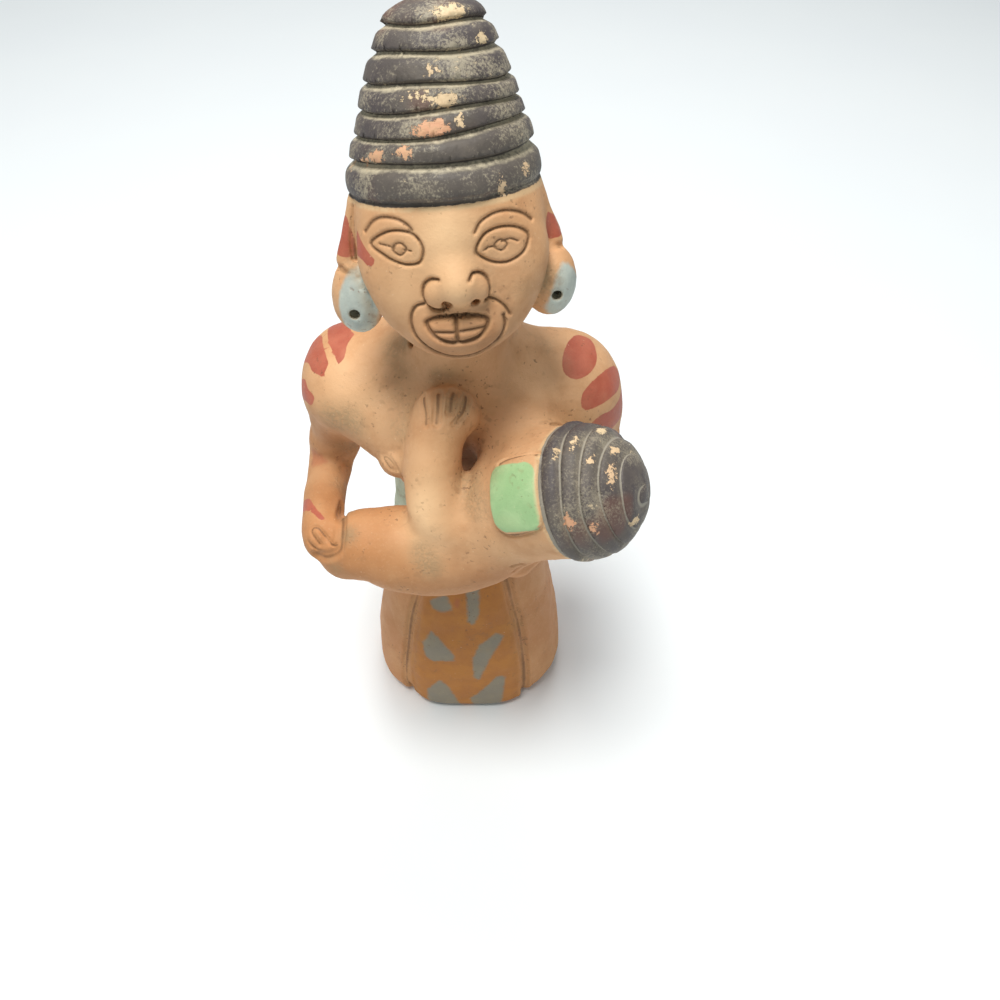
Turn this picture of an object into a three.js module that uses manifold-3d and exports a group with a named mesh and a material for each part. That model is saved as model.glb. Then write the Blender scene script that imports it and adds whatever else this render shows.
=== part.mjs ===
// Terracotta mother and child: a kneeling mother in a coiled headdress holds her child across her lap.
// Units are millimetres. +Z is up, the mother faces -Y, and her left side is at +X.
// The origin is on the ground, under the middle of her base.
// The figure is one piece of fired clay, so it is one mesh. It is put together as a modeller would,
// from lumps of clay that are pressed into each other, and the blended surface is then turned into triangles.

import * as THREE from 'three';
import { mergeVertices } from 'three/addons/utils/BufferGeometryUtils.js';
import { edgeTable, triTable } from 'three/addons/objects/MarchingCubes.js';
import Module from 'manifold-3d';

// Driving dimensions
const BASE_WIDTH = 58;
const BASE_DEPTH = 60;
const WAIST_WIDTH = 36;
const WAIST_HEIGHT = 76;
const SHOULDER_WIDTH = 76;
const SHOULDER_HEIGHT = 108.5;
const HEAD_TILT = THREE.MathUtils.degToRad(17); // the head leans back,
const HEAD_ROLL = THREE.MathUtils.degToRad(4.5); // leans towards her right shoulder
const HEAD_TURN = THREE.MathUtils.degToRad(5); // and turns towards the child
const RIM_HEIGHT = 165.5; // middle of the headdress's lower rim
const RIM_RADIUS = 17.4;
const HEADDRESS_HEIGHT = 29;
const FACE_WIDTH = 34;
const CAP_RADIUS = 14.9;
const CAP_HEIGHT = 16.3;
const CHILD_GIRTH = 10.2; // radius of the child's belly
const EAR_SPREAD = 18; // from the middle of the head to the middle of an ear lobe
const EAR_SHIFT = -0.6; // the face is a little off the middle of the ears
const SPOOL_BORE = 1.8;

// Surface quality
const CELL = 1.15; // grid step of the blended surface
const CLAY_TRIANGLES = 6200;
const FAR = 6; // beyond this a lump has no say

const X = 0;
const Y = 1;
const Z = 2;

// Small vector helpers on [x, y, z]
const add = (a, b, scale = 1) => [a[X] + b[X] * scale, a[Y] + b[Y] * scale, a[Z] + b[Z] * scale];
const subtract = (a, b) => add(a, b, -1);
const dot = (a, b) => a[X] * b[X] + a[Y] * b[Y] + a[Z] * b[Z];

// A frame has an origin and three axes of length one: across, along and out.
function frame(origin, across, along, out) {
  const at = (u, v, w) => add(add(add(origin, across, u), along, v), out, w);
  const local = (p) => {
    const d = subtract(p, origin);
    return [dot(d, across), dot(d, along), dot(d, out)];
  };
  return { origin, across, along, out, at, local };
}

// The mother's head: u is to her left, v is up through the headdress and w is out through the nose.
function headFrame() {
  const turn = new THREE.Matrix4()
    .makeRotationY(-HEAD_ROLL)
    .multiply(new THREE.Matrix4().makeRotationX(-HEAD_TILT))
    .multiply(new THREE.Matrix4().makeRotationZ(HEAD_TURN));
  const axis = (x, y, z) => new THREE.Vector3(x, y, z).applyMatrix4(turn).toArray();
  return frame([0.4, -4, RIM_HEIGHT], axis(1, 0, 0), axis(0, 0, 1), axis(0, -1, 0));
}

// The child's head: v runs up through its cap, and w is out through its nose, towards the mother.
function childFrame() {
  const along = new THREE.Vector3(0.844, -0.273, 0.462).normalize();
  const out = new THREE.Vector3(-0.1, 0.77, 0.63);
  out.addScaledVector(along, -out.dot(along)).normalize();
  const across = new THREE.Vector3().crossVectors(along, out);
  return frame([25.4, -31, 110.8], across.toArray(), along.toArray(), out.toArray());
}

const head = headFrame();
const child = childFrame();

// Smoothly joined minimum and maximum, blended over a width of k
function join(a, b, k) {
  const h = Math.max(k - Math.abs(a - b), 0);
  return Math.min(a, b) - (h * h) / (4 * k);
}

const carve = (a, b, k) => -join(-a, b, k);

const smooth = (t) => {
  const s = Math.min(Math.max(t, 0), 1);
  return s * s * (3 - 2 * s);
};

const boxAround = (points, radii) => ({
  low: [X, Y, Z].map((i) => Math.min(...points.map((p, n) => p[i] - radii[n]))),
  high: [X, Y, Z].map((i) => Math.max(...points.map((p, n) => p[i] + radii[n]))),
});

// A tapering limb along a smooth curve through its joints
function limb(joints, radii, steps = 5) {
  const curve = new THREE.CatmullRomCurve3(joints.map((p) => new THREE.Vector3(...p)));
  const count = (joints.length - 1) * steps;
  const points = [];
  const girths = [];
  for (let i = 0; i <= count; i += 1) {
    const t = i / count;
    const at = t * (joints.length - 1);
    const n = Math.min(Math.floor(at), joints.length - 2);
    points.push(curve.getPoint(t).toArray());
    girths.push(THREE.MathUtils.lerp(radii[n], radii[n + 1], smooth(at - n)));
  }
  const distance = (x, y, z) => {
    let best = Infinity;
    for (let i = 0; i < count; i += 1) {
      const a = points[i];
      const b = points[i + 1];
      const bx = b[X] - a[X];
      const by = b[Y] - a[Y];
      const bz = b[Z] - a[Z];
      const px = x - a[X];
      const py = y - a[Y];
      const pz = z - a[Z];
      const t = Math.min(Math.max((px * bx + py * by + pz * bz) / (bx * bx + by * by + bz * bz), 0), 1);
      const away = Math.hypot(px - bx * t, py - by * t, pz - bz * t);
      best = Math.min(best, away - girths[i] - (girths[i + 1] - girths[i]) * t);
    }
    return best;
  };
  return { distance, ...boxAround(points, girths) };
}

// An ellipsoid with its half sizes along a frame's axes
function ball(centre, sizes, axes = frame(centre, [1, 0, 0], [0, 0, 1], [0, -1, 0])) {
  const distance = (x, y, z) => {
    const d = [x - centre[X], y - centre[Y], z - centre[Z]];
    const u = dot(d, axes.across) / sizes[0];
    const v = dot(d, axes.along) / sizes[1];
    const w = dot(d, axes.out) / sizes[2];
    const near = Math.hypot(u, v, w);
    const slope = Math.hypot(u / sizes[0], v / sizes[1], w / sizes[2]);
    return slope < 1e-9 ? -Math.min(...sizes) : (near * (near - 1)) / slope;
  };
  return { distance, ...boxAround([centre], [Math.max(...sizes)]) };
}

// Values between named levels, on a smooth curve
function graded(levels, column, z) {
  const last = levels.length - 1;
  let n = 0;
  while (n < last - 1 && z > levels[n + 1][0]) n += 1;
  const slope = (i) => {
    const a = levels[Math.max(i - 1, 0)];
    const b = levels[Math.min(i + 1, last)];
    return (b[column] - a[column]) / (b[0] - a[0]);
  };
  const [from, to] = [levels[n], levels[n + 1]];
  const span = to[0] - from[0];
  const t = Math.min(Math.max((z - from[0]) / span, 0), 1);
  const rise = t * t * (3 - 2 * t);
  return from[column] * (1 - rise) + to[column] * rise
    + span * (slope(n) * t * (1 - t) * (1 - t) - slope(n + 1) * t * t * (1 - t));
}

// A rounded column whose section changes with height: levels are [z, half width, front y, back y, squareness]
function column(levels) {
  const distance = (x, y, z) => {
    const half = graded(levels, 1, z);
    const front = graded(levels, 2, z);
    const back = graded(levels, 3, z);
    const power = graded(levels, 4, z);
    const deep = (back - front) / 2;
    const u = Math.abs(x) / half;
    const w = Math.abs(y - (back + front) / 2) / deep;
    const near = (u ** power + w ** power) ** (1 / power);
    const side = (near - 1) * Math.min(half, deep);
    return Math.max(side, z - levels[levels.length - 1][0], levels[0][0] - z);
  };
  const most = (pick) => Math.max(...levels.map(pick));
  return {
    distance,
    low: [-most((l) => l[1]), -most((l) => -l[2]), levels[0][0]],
    high: [most((l) => l[1]), most((l) => l[3]), levels[levels.length - 1][0]],
  };
}

// A block with rounded edges, its half sizes along a frame's axes
function block(axes, sizes, rounding) {
  const distance = (x, y, z) => {
    const outside = axes.local([x, y, z]).map((n, i) => Math.abs(n) - sizes[i] + rounding);
    const corner = Math.hypot(...outside.map((n) => Math.max(n, 0)));
    return corner + Math.min(Math.max(...outside), 0) - rounding;
  };
  return { distance, ...boxAround([axes.origin], [Math.hypot(...sizes)]) };
}

// The face is a shield: straight sides under the rim, an oval chin and a nearly flat front
function faceShield() {
  const half = FACE_WIDTH / 2;
  const [cheek, chin, underRim] = [-9, -28.9, 5];
  const [depth, edge, middle] = [9.5, 5.5, 6.4];
  const distance = (x, y, z) => {
    const [u, v, w] = head.local([x, y, z]);
    const tall = cheek - chin;
    const drop = Math.min(v - cheek, 0);
    const narrow = half - 0.055 * Math.max(v - cheek, 0);
    const near = Math.hypot(u / narrow, drop / tall);
    const slope = Math.hypot(u / narrow ** 2, drop / tall ** 2);
    const outline = slope < 1e-9 ? -half : (near * (near - 1)) / slope;
    const dome = 0.0045 * u * u + 0.002 * (v + 12) ** 2;
    const a = Math.max(outline, v - underRim) + edge;
    const b = Math.abs(w - middle + dome) - depth + edge;
    const slab = Math.hypot(Math.max(a, 0), Math.max(b, 0)) + Math.min(Math.max(a, b), 0) - edge;
    const underHeaddress = 0.93 * (Math.hypot(u, w) - RIM_RADIUS + 0.7 + 0.42 * v);
    return -join(-slab, -underHeaddress, 2);
  };
  return { distance, ...boxAround([head.at(0, -12, 5)], [26]) };
}

// The mother's body
function shoulder(side) {
  const [shift, rise, height] = side < 0 ? [1, 5.6, 11.4] : [1.8, -0.3, 15.5]; // the right armpit is open
  const [out, up] = [(SHOULDER_WIDTH / 2 - 14.8) * side + shift, SHOULDER_HEIGHT + rise];
  return ball([out, 1.5, up], [14, height, 16]);
}

const back = BASE_DEPTH / 2 + 1;

const loins = column([
  [-4, BASE_WIDTH / 2 - 7, -20, 19, 2.4],
  [0, BASE_WIDTH / 2 - 2.9, -24.2, 22.4, 2.5],
  [5, BASE_WIDTH / 2, -26.5, 24, 2.7],
  [14, BASE_WIDTH / 2 - 0.3, -26.3, 23, 2.7],
  [28, BASE_WIDTH / 2 - 2.3, -25, 20, 2.6],
  [44, BASE_WIDTH / 2 - 5.2, -22.5, 18, 2.5],
  [60, WAIST_WIDTH / 2 + 3, -18.5, 15, 2.4],
  [WAIST_HEIGHT, WAIST_WIDTH / 2, -15, 13, 2.3],
  [92, WAIST_WIDTH / 2 - 0.8, -13.5, 14, 2.3],
  [106, 17.6, -14, 16, 2.3],
  [116, 19, -11, 14, 2.2],
  [124, 9, -7, 9, 2],
]);

// The loincloth's front panel, which flares towards the ground
const panel = column([
  [-4, 14, -21, -8, 2.8],
  [0, 16.9, -26.2, -8, 3],
  [5, 17.8, -28.2, -8, 3.4],
  [30, 16.6, -26.8, -8, 3.6],
  [55, 13, -21.5, -6, 3.4],
  [70, 11.5, -14.5, -4, 3.2],
]);

// The grooves beside the panel, wide at the waist and thin at the ground
const panelGroove = (side) => limb(
  [
    [11.4 * side, -18.2, 68], [12.6 * side, -19.6, 56], [15.2 * side, -22.8, 39], [17.8 * side, -24.4, 22],
    [18.1 * side, -24.4, 3],
  ],
  [0.8, 1.6, 1.4, 1.2, 1],
);

// Her legs fold back under her, so the feet and seat make the back of the base
const seat = (side) => ball([9.5 * side, 12, 36], [11, 15, 10]);
const foot = (side) => limb([[14 * side, -6, 8], [13 * side, back - 8, 7]], [11, 8]);
const backGroove = limb([[0, 23, 52], [0, 24.5, 32], [0, 24, 16], [0, 25, 0]], [1.4, 1.8, 2.4, 2.4]);

const breast = (side) => limb([[13 * side, -9, 113], [12.5 * side, -18.3, 108.4]], [10, 4.8]);

// Lumps, in the order they are pressed on: [lump, width of the blend]
const mother = [
  [loins, 1],
  [seat(1), 6], [seat(-1), 6], [foot(1), 5], [foot(-1), 5],
  [limb([[-13, 1, 114.5], [13, 1, 114.5]], [12.2, 12.2]), 8],
  [limb([[0.5, 0, 116], [1, -2.5, 130], [1.5, -5, 146]], [14, 11.2, 10.5]), 8],
  [shoulder(-1), 6], [shoulder(1), 6],
  [breast(-1), 5], [breast(1), 5],
  [limb(
    [[-26.4, 0, 108], [-30.2, -0.5, 98], [-32.7, -2.5, 90.5], [-32.8, -13, 90.3], [-31.2, -26, 92.6]],
    [9, 6.7, 5.5, 4.9, 4.9],
  ), 4],
  [limb([[28.4, 0, 105], [33.6, -1.5, 92], [30, -14, 89], [21, -23, 88]], [8.8, 6.8, 5.6, 5]), 4],
];

// Crown, face, bridge and tip of the nose, its two wings, and the raised ground of the mouth
const motherHead = [
  [ball(head.at(0, -5, -1), [16.4, 14, 15.2], head), 2],
  [faceShield(), 4],
  [ball(head.at(0.2, -8.5, 13.6), [2.6, 6.5, 3], head), 4],
  [ball(head.at(0.2, -13.6, 15.6), [3.8, 4.2, 4.6], head), 3],
  [ball(head.at(3.5, -14.6, 15.6), [2.4, 2.7, 2.7], head), 1],
  [ball(head.at(-3.1, -14.8, 15.6), [2.4, 2.7, 2.7], head), 1],
  [ball(head.at(0, -22, 11.9), [9, 5.9, 6.1], head), 1.2],
];

// An ear flap hangs from the rim, leans outwards and ends in a lobe that holds the ear spool
function ear(side) {
  const spread = EAR_SPREAD * side + EAR_SHIFT;
  const lean = 0.36 * side;
  const axis = (u, v) => subtract(head.at(u, v, 0), head.origin);
  const leaning = frame(
    head.at(spread - 1.3 * side, -6.5, -0.5),
    axis(Math.cos(lean), Math.sin(lean)),
    axis(-Math.sin(lean), Math.cos(lean)),
    head.out,
  );
  return [
    [block(leaning, [2.5, 7, 5], 1.8), 1],
    [ball(head.at(spread, -18.2, 3.4), [5.2, 6.8, 6], head), 0.8],
  ];
}

// The child lies across her lap, with its head towards her left and a hand raised to her breast
const childHead = limb(
  [child.at(-0.6, -14.6, -1.2), child.at(0, -5, 0), child.at(0, 1.5, 0)],
  [12.2, 13.9, 14.2],
);

const childBody = [
  [limb(
    [
      [-25, -30.2, 89.8], [-19.5, -30.3, 91.4], [-12, -30.8, 90.3],
      [-4, -31, 89], [5, -30, 91.5], [11, -29, 97],
    ],
    [7.3, 8.4, CHILD_GIRTH - 0.2, CHILD_GIRTH, CHILD_GIRTH, 10],
  ), 2],
  [childHead, 5],
  [limb([[3, -30, 97], [-2.9, -30, 101.5], [-4.7, -25.5, 110], [-3.4, -20.5, 118]], [6.5, 6.4, 6.2, 5.9]), 4],
  [ball([-0.9, -18, 121.6], [6.7, 6.3, 4]), 3],
];

// The child's ear flap is pressed on beside the rim of its cap
function childEarFlap() {
  const [middle, sizes, corner, thick] = [[-6.2, 0.6], [6.1, 7.9], 3.2, 1.2];
  const distance = (x, y, z) => {
    const [u, v, w] = child.local([x, y, z]);
    const a = Math.abs(v - middle[0]) - sizes[0] + corner;
    const b = Math.abs(w - middle[1]) - sizes[1] + corner;
    const outline = Math.hypot(Math.max(a, 0), Math.max(b, 0)) + Math.min(Math.max(a, b), 0) - corner;
    return Math.max(carve(outline, thick - childHead.distance(x, y, z), 1), -u);
  };
  return { distance, ...boxAround([child.at(12, -6, 1)], [12]) };
}

const motherHand = ball([-30.5, -28.6, 92.2], [5, 5.3, 5.2]);
const otherHand = limb([[20, -24, 88], [13.6, -30.3, 86.4]], [5, 4.8]);

const lumps = [
  ...mother, ...motherHead, ...ear(1), ...ear(-1),
  ...childBody, [childEarFlap(), 0.4], [motherHand, 1.5], [otherHand, 1.5], [panel, 0.8],
];
const cuts = [[panelGroove(1), 0.6], [panelGroove(-1), 0.6], [backGroove, 1.5]];

// Distance from a point to the blended clay, near its surface
function clay(x, y, z) {
  const gap = (lump) => Math.max(
    lump.low[X] - x, x - lump.high[X], lump.low[Y] - y, y - lump.high[Y], lump.low[Z] - z, z - lump.high[Z],
  );
  let d = FAR;
  for (const [lump, blend] of lumps) {
    if (gap(lump) < Math.min(d + blend, FAR)) d = join(d, lump.distance(x, y, z), blend);
  }
  for (const [lump, blend] of cuts) {
    if (gap(lump) < blend + 1) d = carve(d, lump.distance(x, y, z), blend);
  }
  return d;
}

// The surface where the distance is zero, as marching cubes with shared corners
function polygonise(distance, low, high, cell) {
  const size = [X, Y, Z].map((i) => Math.ceil((high[i] - low[i]) / cell) + 1);
  const [nx, ny, nz] = size;
  const values = new Float32Array(nx * ny * nz);
  const index = (i, j, k) => i + nx * (j + ny * k);
  for (let k = 0; k < nz; k += 1) {
    for (let j = 0; j < ny; j += 1) {
      for (let i = 0; i < nx; i += 1) {
        const value = distance(low[X] + i * cell, low[Y] + j * cell, low[Z] + k * cell);
        values[index(i, j, k)] = Math.abs(value) < 1e-4 ? 1e-4 : value;
      }
    }
  }
  const corners = [[0, 0, 0], [1, 0, 0], [1, 1, 0], [0, 1, 0], [0, 0, 1], [1, 0, 1], [1, 1, 1], [0, 1, 1]];
  const ends = [
    [0, 1], [1, 2], [2, 3], [3, 0], [4, 5], [5, 6], [6, 7], [7, 4], [0, 4], [1, 5], [2, 6], [3, 7],
  ];
  const positions = [];
  const faces = [];
  const found = new Map();
  const crossing = (i, j, k, edge) => {
    const [a, b] = ends[edge].map((c) => [i + corners[c][0], j + corners[c][1], k + corners[c][2]]);
    const [ia, ib] = [index(...a), index(...b)];
    const key = Math.min(ia, ib) * 3 + (a[X] !== b[X] ? 0 : a[Y] !== b[Y] ? 1 : 2);
    if (!found.has(key)) {
      const t = values[ia] / (values[ia] - values[ib]);
      found.set(key, positions.length / 3);
      for (const n of [X, Y, Z]) positions.push(low[n] + (a[n] + (b[n] - a[n]) * t) * cell);
    }
    return found.get(key);
  };
  for (let k = 0; k < nz - 1; k += 1) {
    for (let j = 0; j < ny - 1; j += 1) {
      for (let i = 0; i < nx - 1; i += 1) {
        let inside = 0;
        corners.forEach(([a, b, c], n) => {
          if (values[index(i + a, j + b, k + c)] < 0) inside |= 1 << n;
        });
        if (edgeTable[inside] !== 0) {
          for (let n = inside * 16; triTable[n] !== -1; n += 3) {
            faces.push([2, 1, 0].map((m) => crossing(i, j, k, triTable[n + m])));
          }
        }
      }
    }
  }
  return { positions, faces };
}

// Fewer triangles: the edge that costs least shape is drawn together to one point, again and again
function simplify({ positions, faces }, target, importance) {
  const count = positions.length / 3;
  const point = (v) => [positions[3 * v], positions[3 * v + 1], positions[3 * v + 2]];
  const cross = (a, b) => [a[Y] * b[Z] - a[Z] * b[Y], a[Z] * b[X] - a[X] * b[Z], a[X] * b[Y] - a[Y] * b[X]];
  const normalOf = (a, b, c) => cross(subtract(b, a), subtract(c, a));
  const around = Array.from({ length: count }, () => new Set());
  const quadrics = Array.from({ length: count }, () => new Float64Array(10));
  const age = new Uint32Array(count);
  let alive = faces.length;

  faces.forEach((face, f) => {
    const [a, b, c] = face.map(point);
    const normal = normalOf(a, b, c);
    const area = Math.hypot(...normal);
    if (area > 1e-9) {
      const [x, y, z] = normal.map((n) => n / area);
      const d = -dot([x, y, z], a);
      const plane = [x * x, x * y, x * z, x * d, y * y, y * z, y * d, z * z, z * d, d * d];
      for (const v of face) plane.forEach((q, i) => { quadrics[v][i] += q * area; });
    }
    for (const v of face) around[v].add(f);
  });

  const costAt = (q, [x, y, z]) => q[0] * x * x + 2 * q[1] * x * y + 2 * q[2] * x * z + 2 * q[3] * x
    + q[4] * y * y + 2 * q[5] * y * z + 2 * q[6] * y + q[7] * z * z + 2 * q[8] * z + q[9];

  // The best point for an edge, held near its middle so that flat areas keep well-shaped triangles
  const best = (u, v) => {
    const a = point(u);
    const b = point(v);
    const middle = add(a, b).map((n) => n / 2);
    const span = subtract(b, a);
    const q = quadrics[u].map((n, i) => n + quadrics[v][i]);
    const hold = 1e-3 * (q[0] + q[4] + q[7]) + 1e-9;
    const [xx, xy, xz, yy, yz, zz] = [q[0] + hold, q[1], q[2], q[4] + hold, q[5], q[7] + hold];
    const right = [hold * middle[X] - q[3], hold * middle[Y] - q[6], hold * middle[Z] - q[8]];
    const [rowX, rowY, rowZ] = [[xx, xy, xz], [xy, yy, yz], [xz, yz, zz]];
    const whole = dot(rowX, cross(rowY, rowZ));
    let at = [
      dot(right, cross(rowY, rowZ)) / whole,
      dot(right, cross(rowZ, rowX)) / whole,
      dot(right, cross(rowX, rowY)) / whole,
    ];
    if (!(Math.hypot(...subtract(at, middle)) < 1.5 * Math.hypot(...span))) at = middle;
    return { at, cost: (costAt(q, at) + 2e-3 * dot(span, span)) * importance(at) };
  };

  // A binary heap of edges, cheapest first; an edge is stale once either end has moved
  const heap = [];
  const lift = (entry) => {
    let n = heap.push(entry) - 1;
    while (n > 0 && heap[(n - 1) >> 1].cost > entry.cost) {
      heap[n] = heap[(n - 1) >> 1];
      n = (n - 1) >> 1;
    }
    heap[n] = entry;
  };
  const take = () => {
    const top = heap[0];
    const entry = heap.pop();
    if (heap.length === 0) return top;
    let n = 0;
    for (;;) {
      let next = 2 * n + 1;
      if (next >= heap.length) break;
      if (next + 1 < heap.length && heap[next + 1].cost < heap[next].cost) next += 1;
      if (heap[next].cost >= entry.cost) break;
      heap[n] = heap[next];
      n = next;
    }
    heap[n] = entry;
    return top;
  };
  const offer = (u, v) => lift({ u, v, ages: age[u] + age[v], ...best(u, v) });
  const neighbours = (v) => {
    const all = new Set();
    for (const f of around[v]) for (const n of faces[f]) if (n !== v) all.add(n);
    return all;
  };
  const turnsOver = (v, other, at) => {
    for (const f of around[v]) {
      if (!faces[f].includes(other)) {
        const before = normalOf(...faces[f].map(point));
        const after = normalOf(...faces[f].map((n) => (n === v ? at : point(n))));
        const size = Math.hypot(...before) * Math.hypot(...after);
        if (dot(before, after) < 0.25 * size || Math.hypot(...after) < 1e-3) return true;
      }
    }
    return false;
  };

  faces.forEach(([a, b, c]) => {
    for (const [u, v] of [[a, b], [b, c], [c, a]]) if (u < v) offer(u, v);
  });
  while (alive > target && heap.length > 0) {
    const { u, v, ages, at } = take();
    const current = around[u].size > 0 && around[v].size > 0 && ages === age[u] + age[v];
    if (current) {
      const beside = neighbours(v);
      const shared = [...neighbours(u)].filter((n) => beside.has(n));
      if (beside.has(u) && shared.length === 2 && !turnsOver(u, v, at) && !turnsOver(v, u, at)) {
        for (const f of around[v]) {
          if (faces[f].includes(u)) {
            for (const n of faces[f]) if (n !== v) around[n].delete(f);
            faces[f] = null;
            alive -= 1;
          } else {
            faces[f] = faces[f].map((n) => (n === v ? u : n));
            around[u].add(f);
          }
        }
        around[v].clear();
        quadrics[v].forEach((q, i) => { quadrics[u][i] += q; });
        at.forEach((n, i) => { positions[3 * u + i] = n; });
        age[u] += 1;
        for (const n of neighbours(u)) {
          age[n] += 1;
        }
        for (const n of neighbours(u)) {
          offer(Math.min(u, n), Math.max(u, n));
          for (const m of neighbours(n)) if (m !== u) offer(Math.min(m, n), Math.max(m, n));
        }
      }
    }
  }
  return { positions, faces: faces.filter((face) => face) };
}

const wasm = await Module();
wasm.setup();

// A three.js geometry as a manifold-3d solid, and back
function solid(geometry) {
  const bare = geometry.clone();
  for (const name of ['normal', 'uv']) bare.deleteAttribute(name);
  const merged = mergeVertices(bare);
  return new wasm.Manifold(new wasm.Mesh({
    numProp: 3,
    vertProperties: merged.attributes.position.array,
    triVerts: new Uint32Array(merged.index.array),
  }));
}

function geometryOf(body) {
  const mesh = body.getMesh();
  const geometry = new THREE.BufferGeometry();
  geometry.setAttribute('position', new THREE.BufferAttribute(new Float32Array(mesh.vertProperties), 3));
  geometry.setIndex(new THREE.BufferAttribute(new Uint32Array(mesh.triVerts), 1));
  geometry.computeVertexNormals();
  return geometry;
}

// Ropes of clay laid in rings up a frame's v axis, with a groove between each ring and the next.
// The tilts raise each groove a little on the +u side, and the lean carries the top over to that side.
function ringed(axes, { outline, grooves, tilts, top, depth, lean, segments }) {
  const profile = [[0, 1], [0.16, 0.25], [0.5, 0], [0.84, 0.15]]; // [place in the ring, depth of groove]
  const heights = grooves.map((v, n) => [n, v]);
  const slopes = tilts.map((v, n) => [n, v]);
  const count = profile.length * (grooves.length - 1);
  const corners = [];
  for (let i = 0; i < count; i += 1) {
    const [place, sink] = profile[i % profile.length];
    const turn = Math.floor(i / profile.length) + place;
    for (let j = 0; j < segments; j += 1) {
      const angle = (j / segments) * 2 * Math.PI;
      const v = graded(heights, 1, turn) + graded(slopes, 1, turn) * Math.sin(angle);
      const radius = graded(outline, 1, v) - depth * sink * smooth(turn * 2);
      corners.push(...axes.at(radius * Math.sin(angle) + lean * (v - top / 3), v, radius * Math.cos(angle)));
    }
  }
  const below = count * segments;
  corners.push(...axes.at(0, 0, 0), ...axes.at(lean * top * 0.67, top, 0));
  const faces = [];
  for (let j = 0; j < segments; j += 1) {
    const next = (j + 1) % segments;
    for (let i = 0; i < count - 1; i += 1) {
      const [a, b] = [i * segments + j, i * segments + next];
      faces.push(a, b, b + segments, a, b + segments, a + segments);
    }
    const last = (count - 1) * segments;
    faces.push(j, below, next, last + j, last + next, below + 1);
  }
  const geometry = new THREE.BufferGeometry();
  geometry.setAttribute('position', new THREE.Float32BufferAttribute(corners, 3));
  geometry.setIndex(faces);
  return geometry;
}

const headdress = ringed(head, {
  outline: [
    [0, RIM_RADIUS - 0.3], [2, RIM_RADIUS], [4, 17], [5.4, 16.5], [8, 16], [10, 15.2], [12.5, 14.3],
    [15, 13.5], [18, 12.4], [21, 11.1], [23, 10.2], [25, 8.9], [26.6, 7.9], [28, 5.3],
    [HEADDRESS_HEIGHT, 2.6],
  ],
  grooves: [0, 5.9, 9.9, 13.4, 16.9, 21.3, 25, 28.6],
  tilts: [0, 0.15, 0.8, 0.3, -0.3, -0.2, 0, 0],
  top: HEADDRESS_HEIGHT,
  depth: 1,
  lean: 0.04,
  segments: 32,
});

const cap = ringed(child, {
  outline: [
    [0, CAP_RADIUS - 0.4], [2, CAP_RADIUS], [4, 14.5], [8, 13.4], [11, 11.5], [14, 7.8], [15.6, 4.4],
    [CAP_HEIGHT, 2],
  ],
  grooves: [0, 3.7, 7.8, 10.9, 14, 16],
  tilts: [0, 0.3, 0, 0.3, 0, 0],
  top: CAP_HEIGHT,
  depth: 0.8,
  lean: 0,
  segments: 28,
});

// The hole in an ear spool, bored from the front
function spoolHole(side) {
  const [across, out] = [new THREE.Vector3(...head.across), new THREE.Vector3(...head.out)];
  const down = new THREE.Vector3().crossVectors(across, out);
  const bore = new THREE.CylinderGeometry(SPOOL_BORE / 2, SPOOL_BORE / 2, 5, 10);
  bore.applyMatrix4(new THREE.Matrix4().makeBasis(across, out, down));
  return bore.translate(...head.at(EAR_SPREAD * side + EAR_SHIFT + 0.8 * side, -19.8, 8));
}

// The ground, which cuts the base flat
const ground = new THREE.BoxGeometry(120, 120, 20).translate(0, 0, -10);

function figure() {
  const blended = polygonise(clay, [-46, -52, -6], [46, 38, 181], CELL);
  const nearFace = (p) => smooth(2.2 - Math.hypot(...subtract(p, head.at(0, -14, 14))) / 11);
  const light = simplify(blended, CLAY_TRIANGLES, (p) => 1 + 8 * nearFace(p));
  const rough = new THREE.BufferGeometry();
  rough.setAttribute('position', new THREE.Float32BufferAttribute(light.positions, 3));
  rough.setIndex(light.faces.flat());
  let body = solid(rough).subtract(solid(ground)).add(solid(headdress)).add(solid(cap));
  for (const side of [1, -1]) body = body.subtract(solid(spoolHole(side)));
  return geometryOf(body);
}

const terracotta = new THREE.MeshStandardMaterial({ color: 0xc58a5c, roughness: 0.85, metalness: 0 });

const statue = new THREE.Mesh(figure(), terracotta);
statue.name = 'mother_and_child';

const group = new THREE.Group();
group.add(statue);

export default group;
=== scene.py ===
"""The looks of the terracotta mother and child.

One dressed mesh stands for the statue's solid. It is shaped as the solid is, from lumps of clay pressed
into each other, and adds what the hand and the tool left: incised eyes, brows, nose, mouth and fingers,
rounded ropes in the headdress and cap, dents, and masks for paint, dust and wear, and for painted shade
and painted highlights.
Lengths are millimetres until the mesh is made. +Z is up and the mother faces -Y.
"""
import math

import bpy
import numpy as np
from mathutils import Matrix, Vector


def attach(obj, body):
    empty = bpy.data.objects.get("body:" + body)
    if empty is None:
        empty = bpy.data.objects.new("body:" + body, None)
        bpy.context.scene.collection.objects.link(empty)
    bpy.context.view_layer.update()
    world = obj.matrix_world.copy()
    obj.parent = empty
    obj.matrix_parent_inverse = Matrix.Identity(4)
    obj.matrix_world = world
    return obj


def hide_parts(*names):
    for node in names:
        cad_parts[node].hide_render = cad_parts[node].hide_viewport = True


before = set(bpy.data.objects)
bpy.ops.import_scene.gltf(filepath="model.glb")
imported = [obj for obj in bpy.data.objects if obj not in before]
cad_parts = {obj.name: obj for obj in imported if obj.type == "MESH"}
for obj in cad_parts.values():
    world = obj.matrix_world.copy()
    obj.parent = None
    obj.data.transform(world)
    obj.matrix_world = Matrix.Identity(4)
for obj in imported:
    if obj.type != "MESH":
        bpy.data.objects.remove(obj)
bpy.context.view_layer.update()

MM = 0.001
FAR = 6.0  # a lump farther away than this isn't measured
CELL = 1.3  # grid step of the first, even mesh

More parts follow.
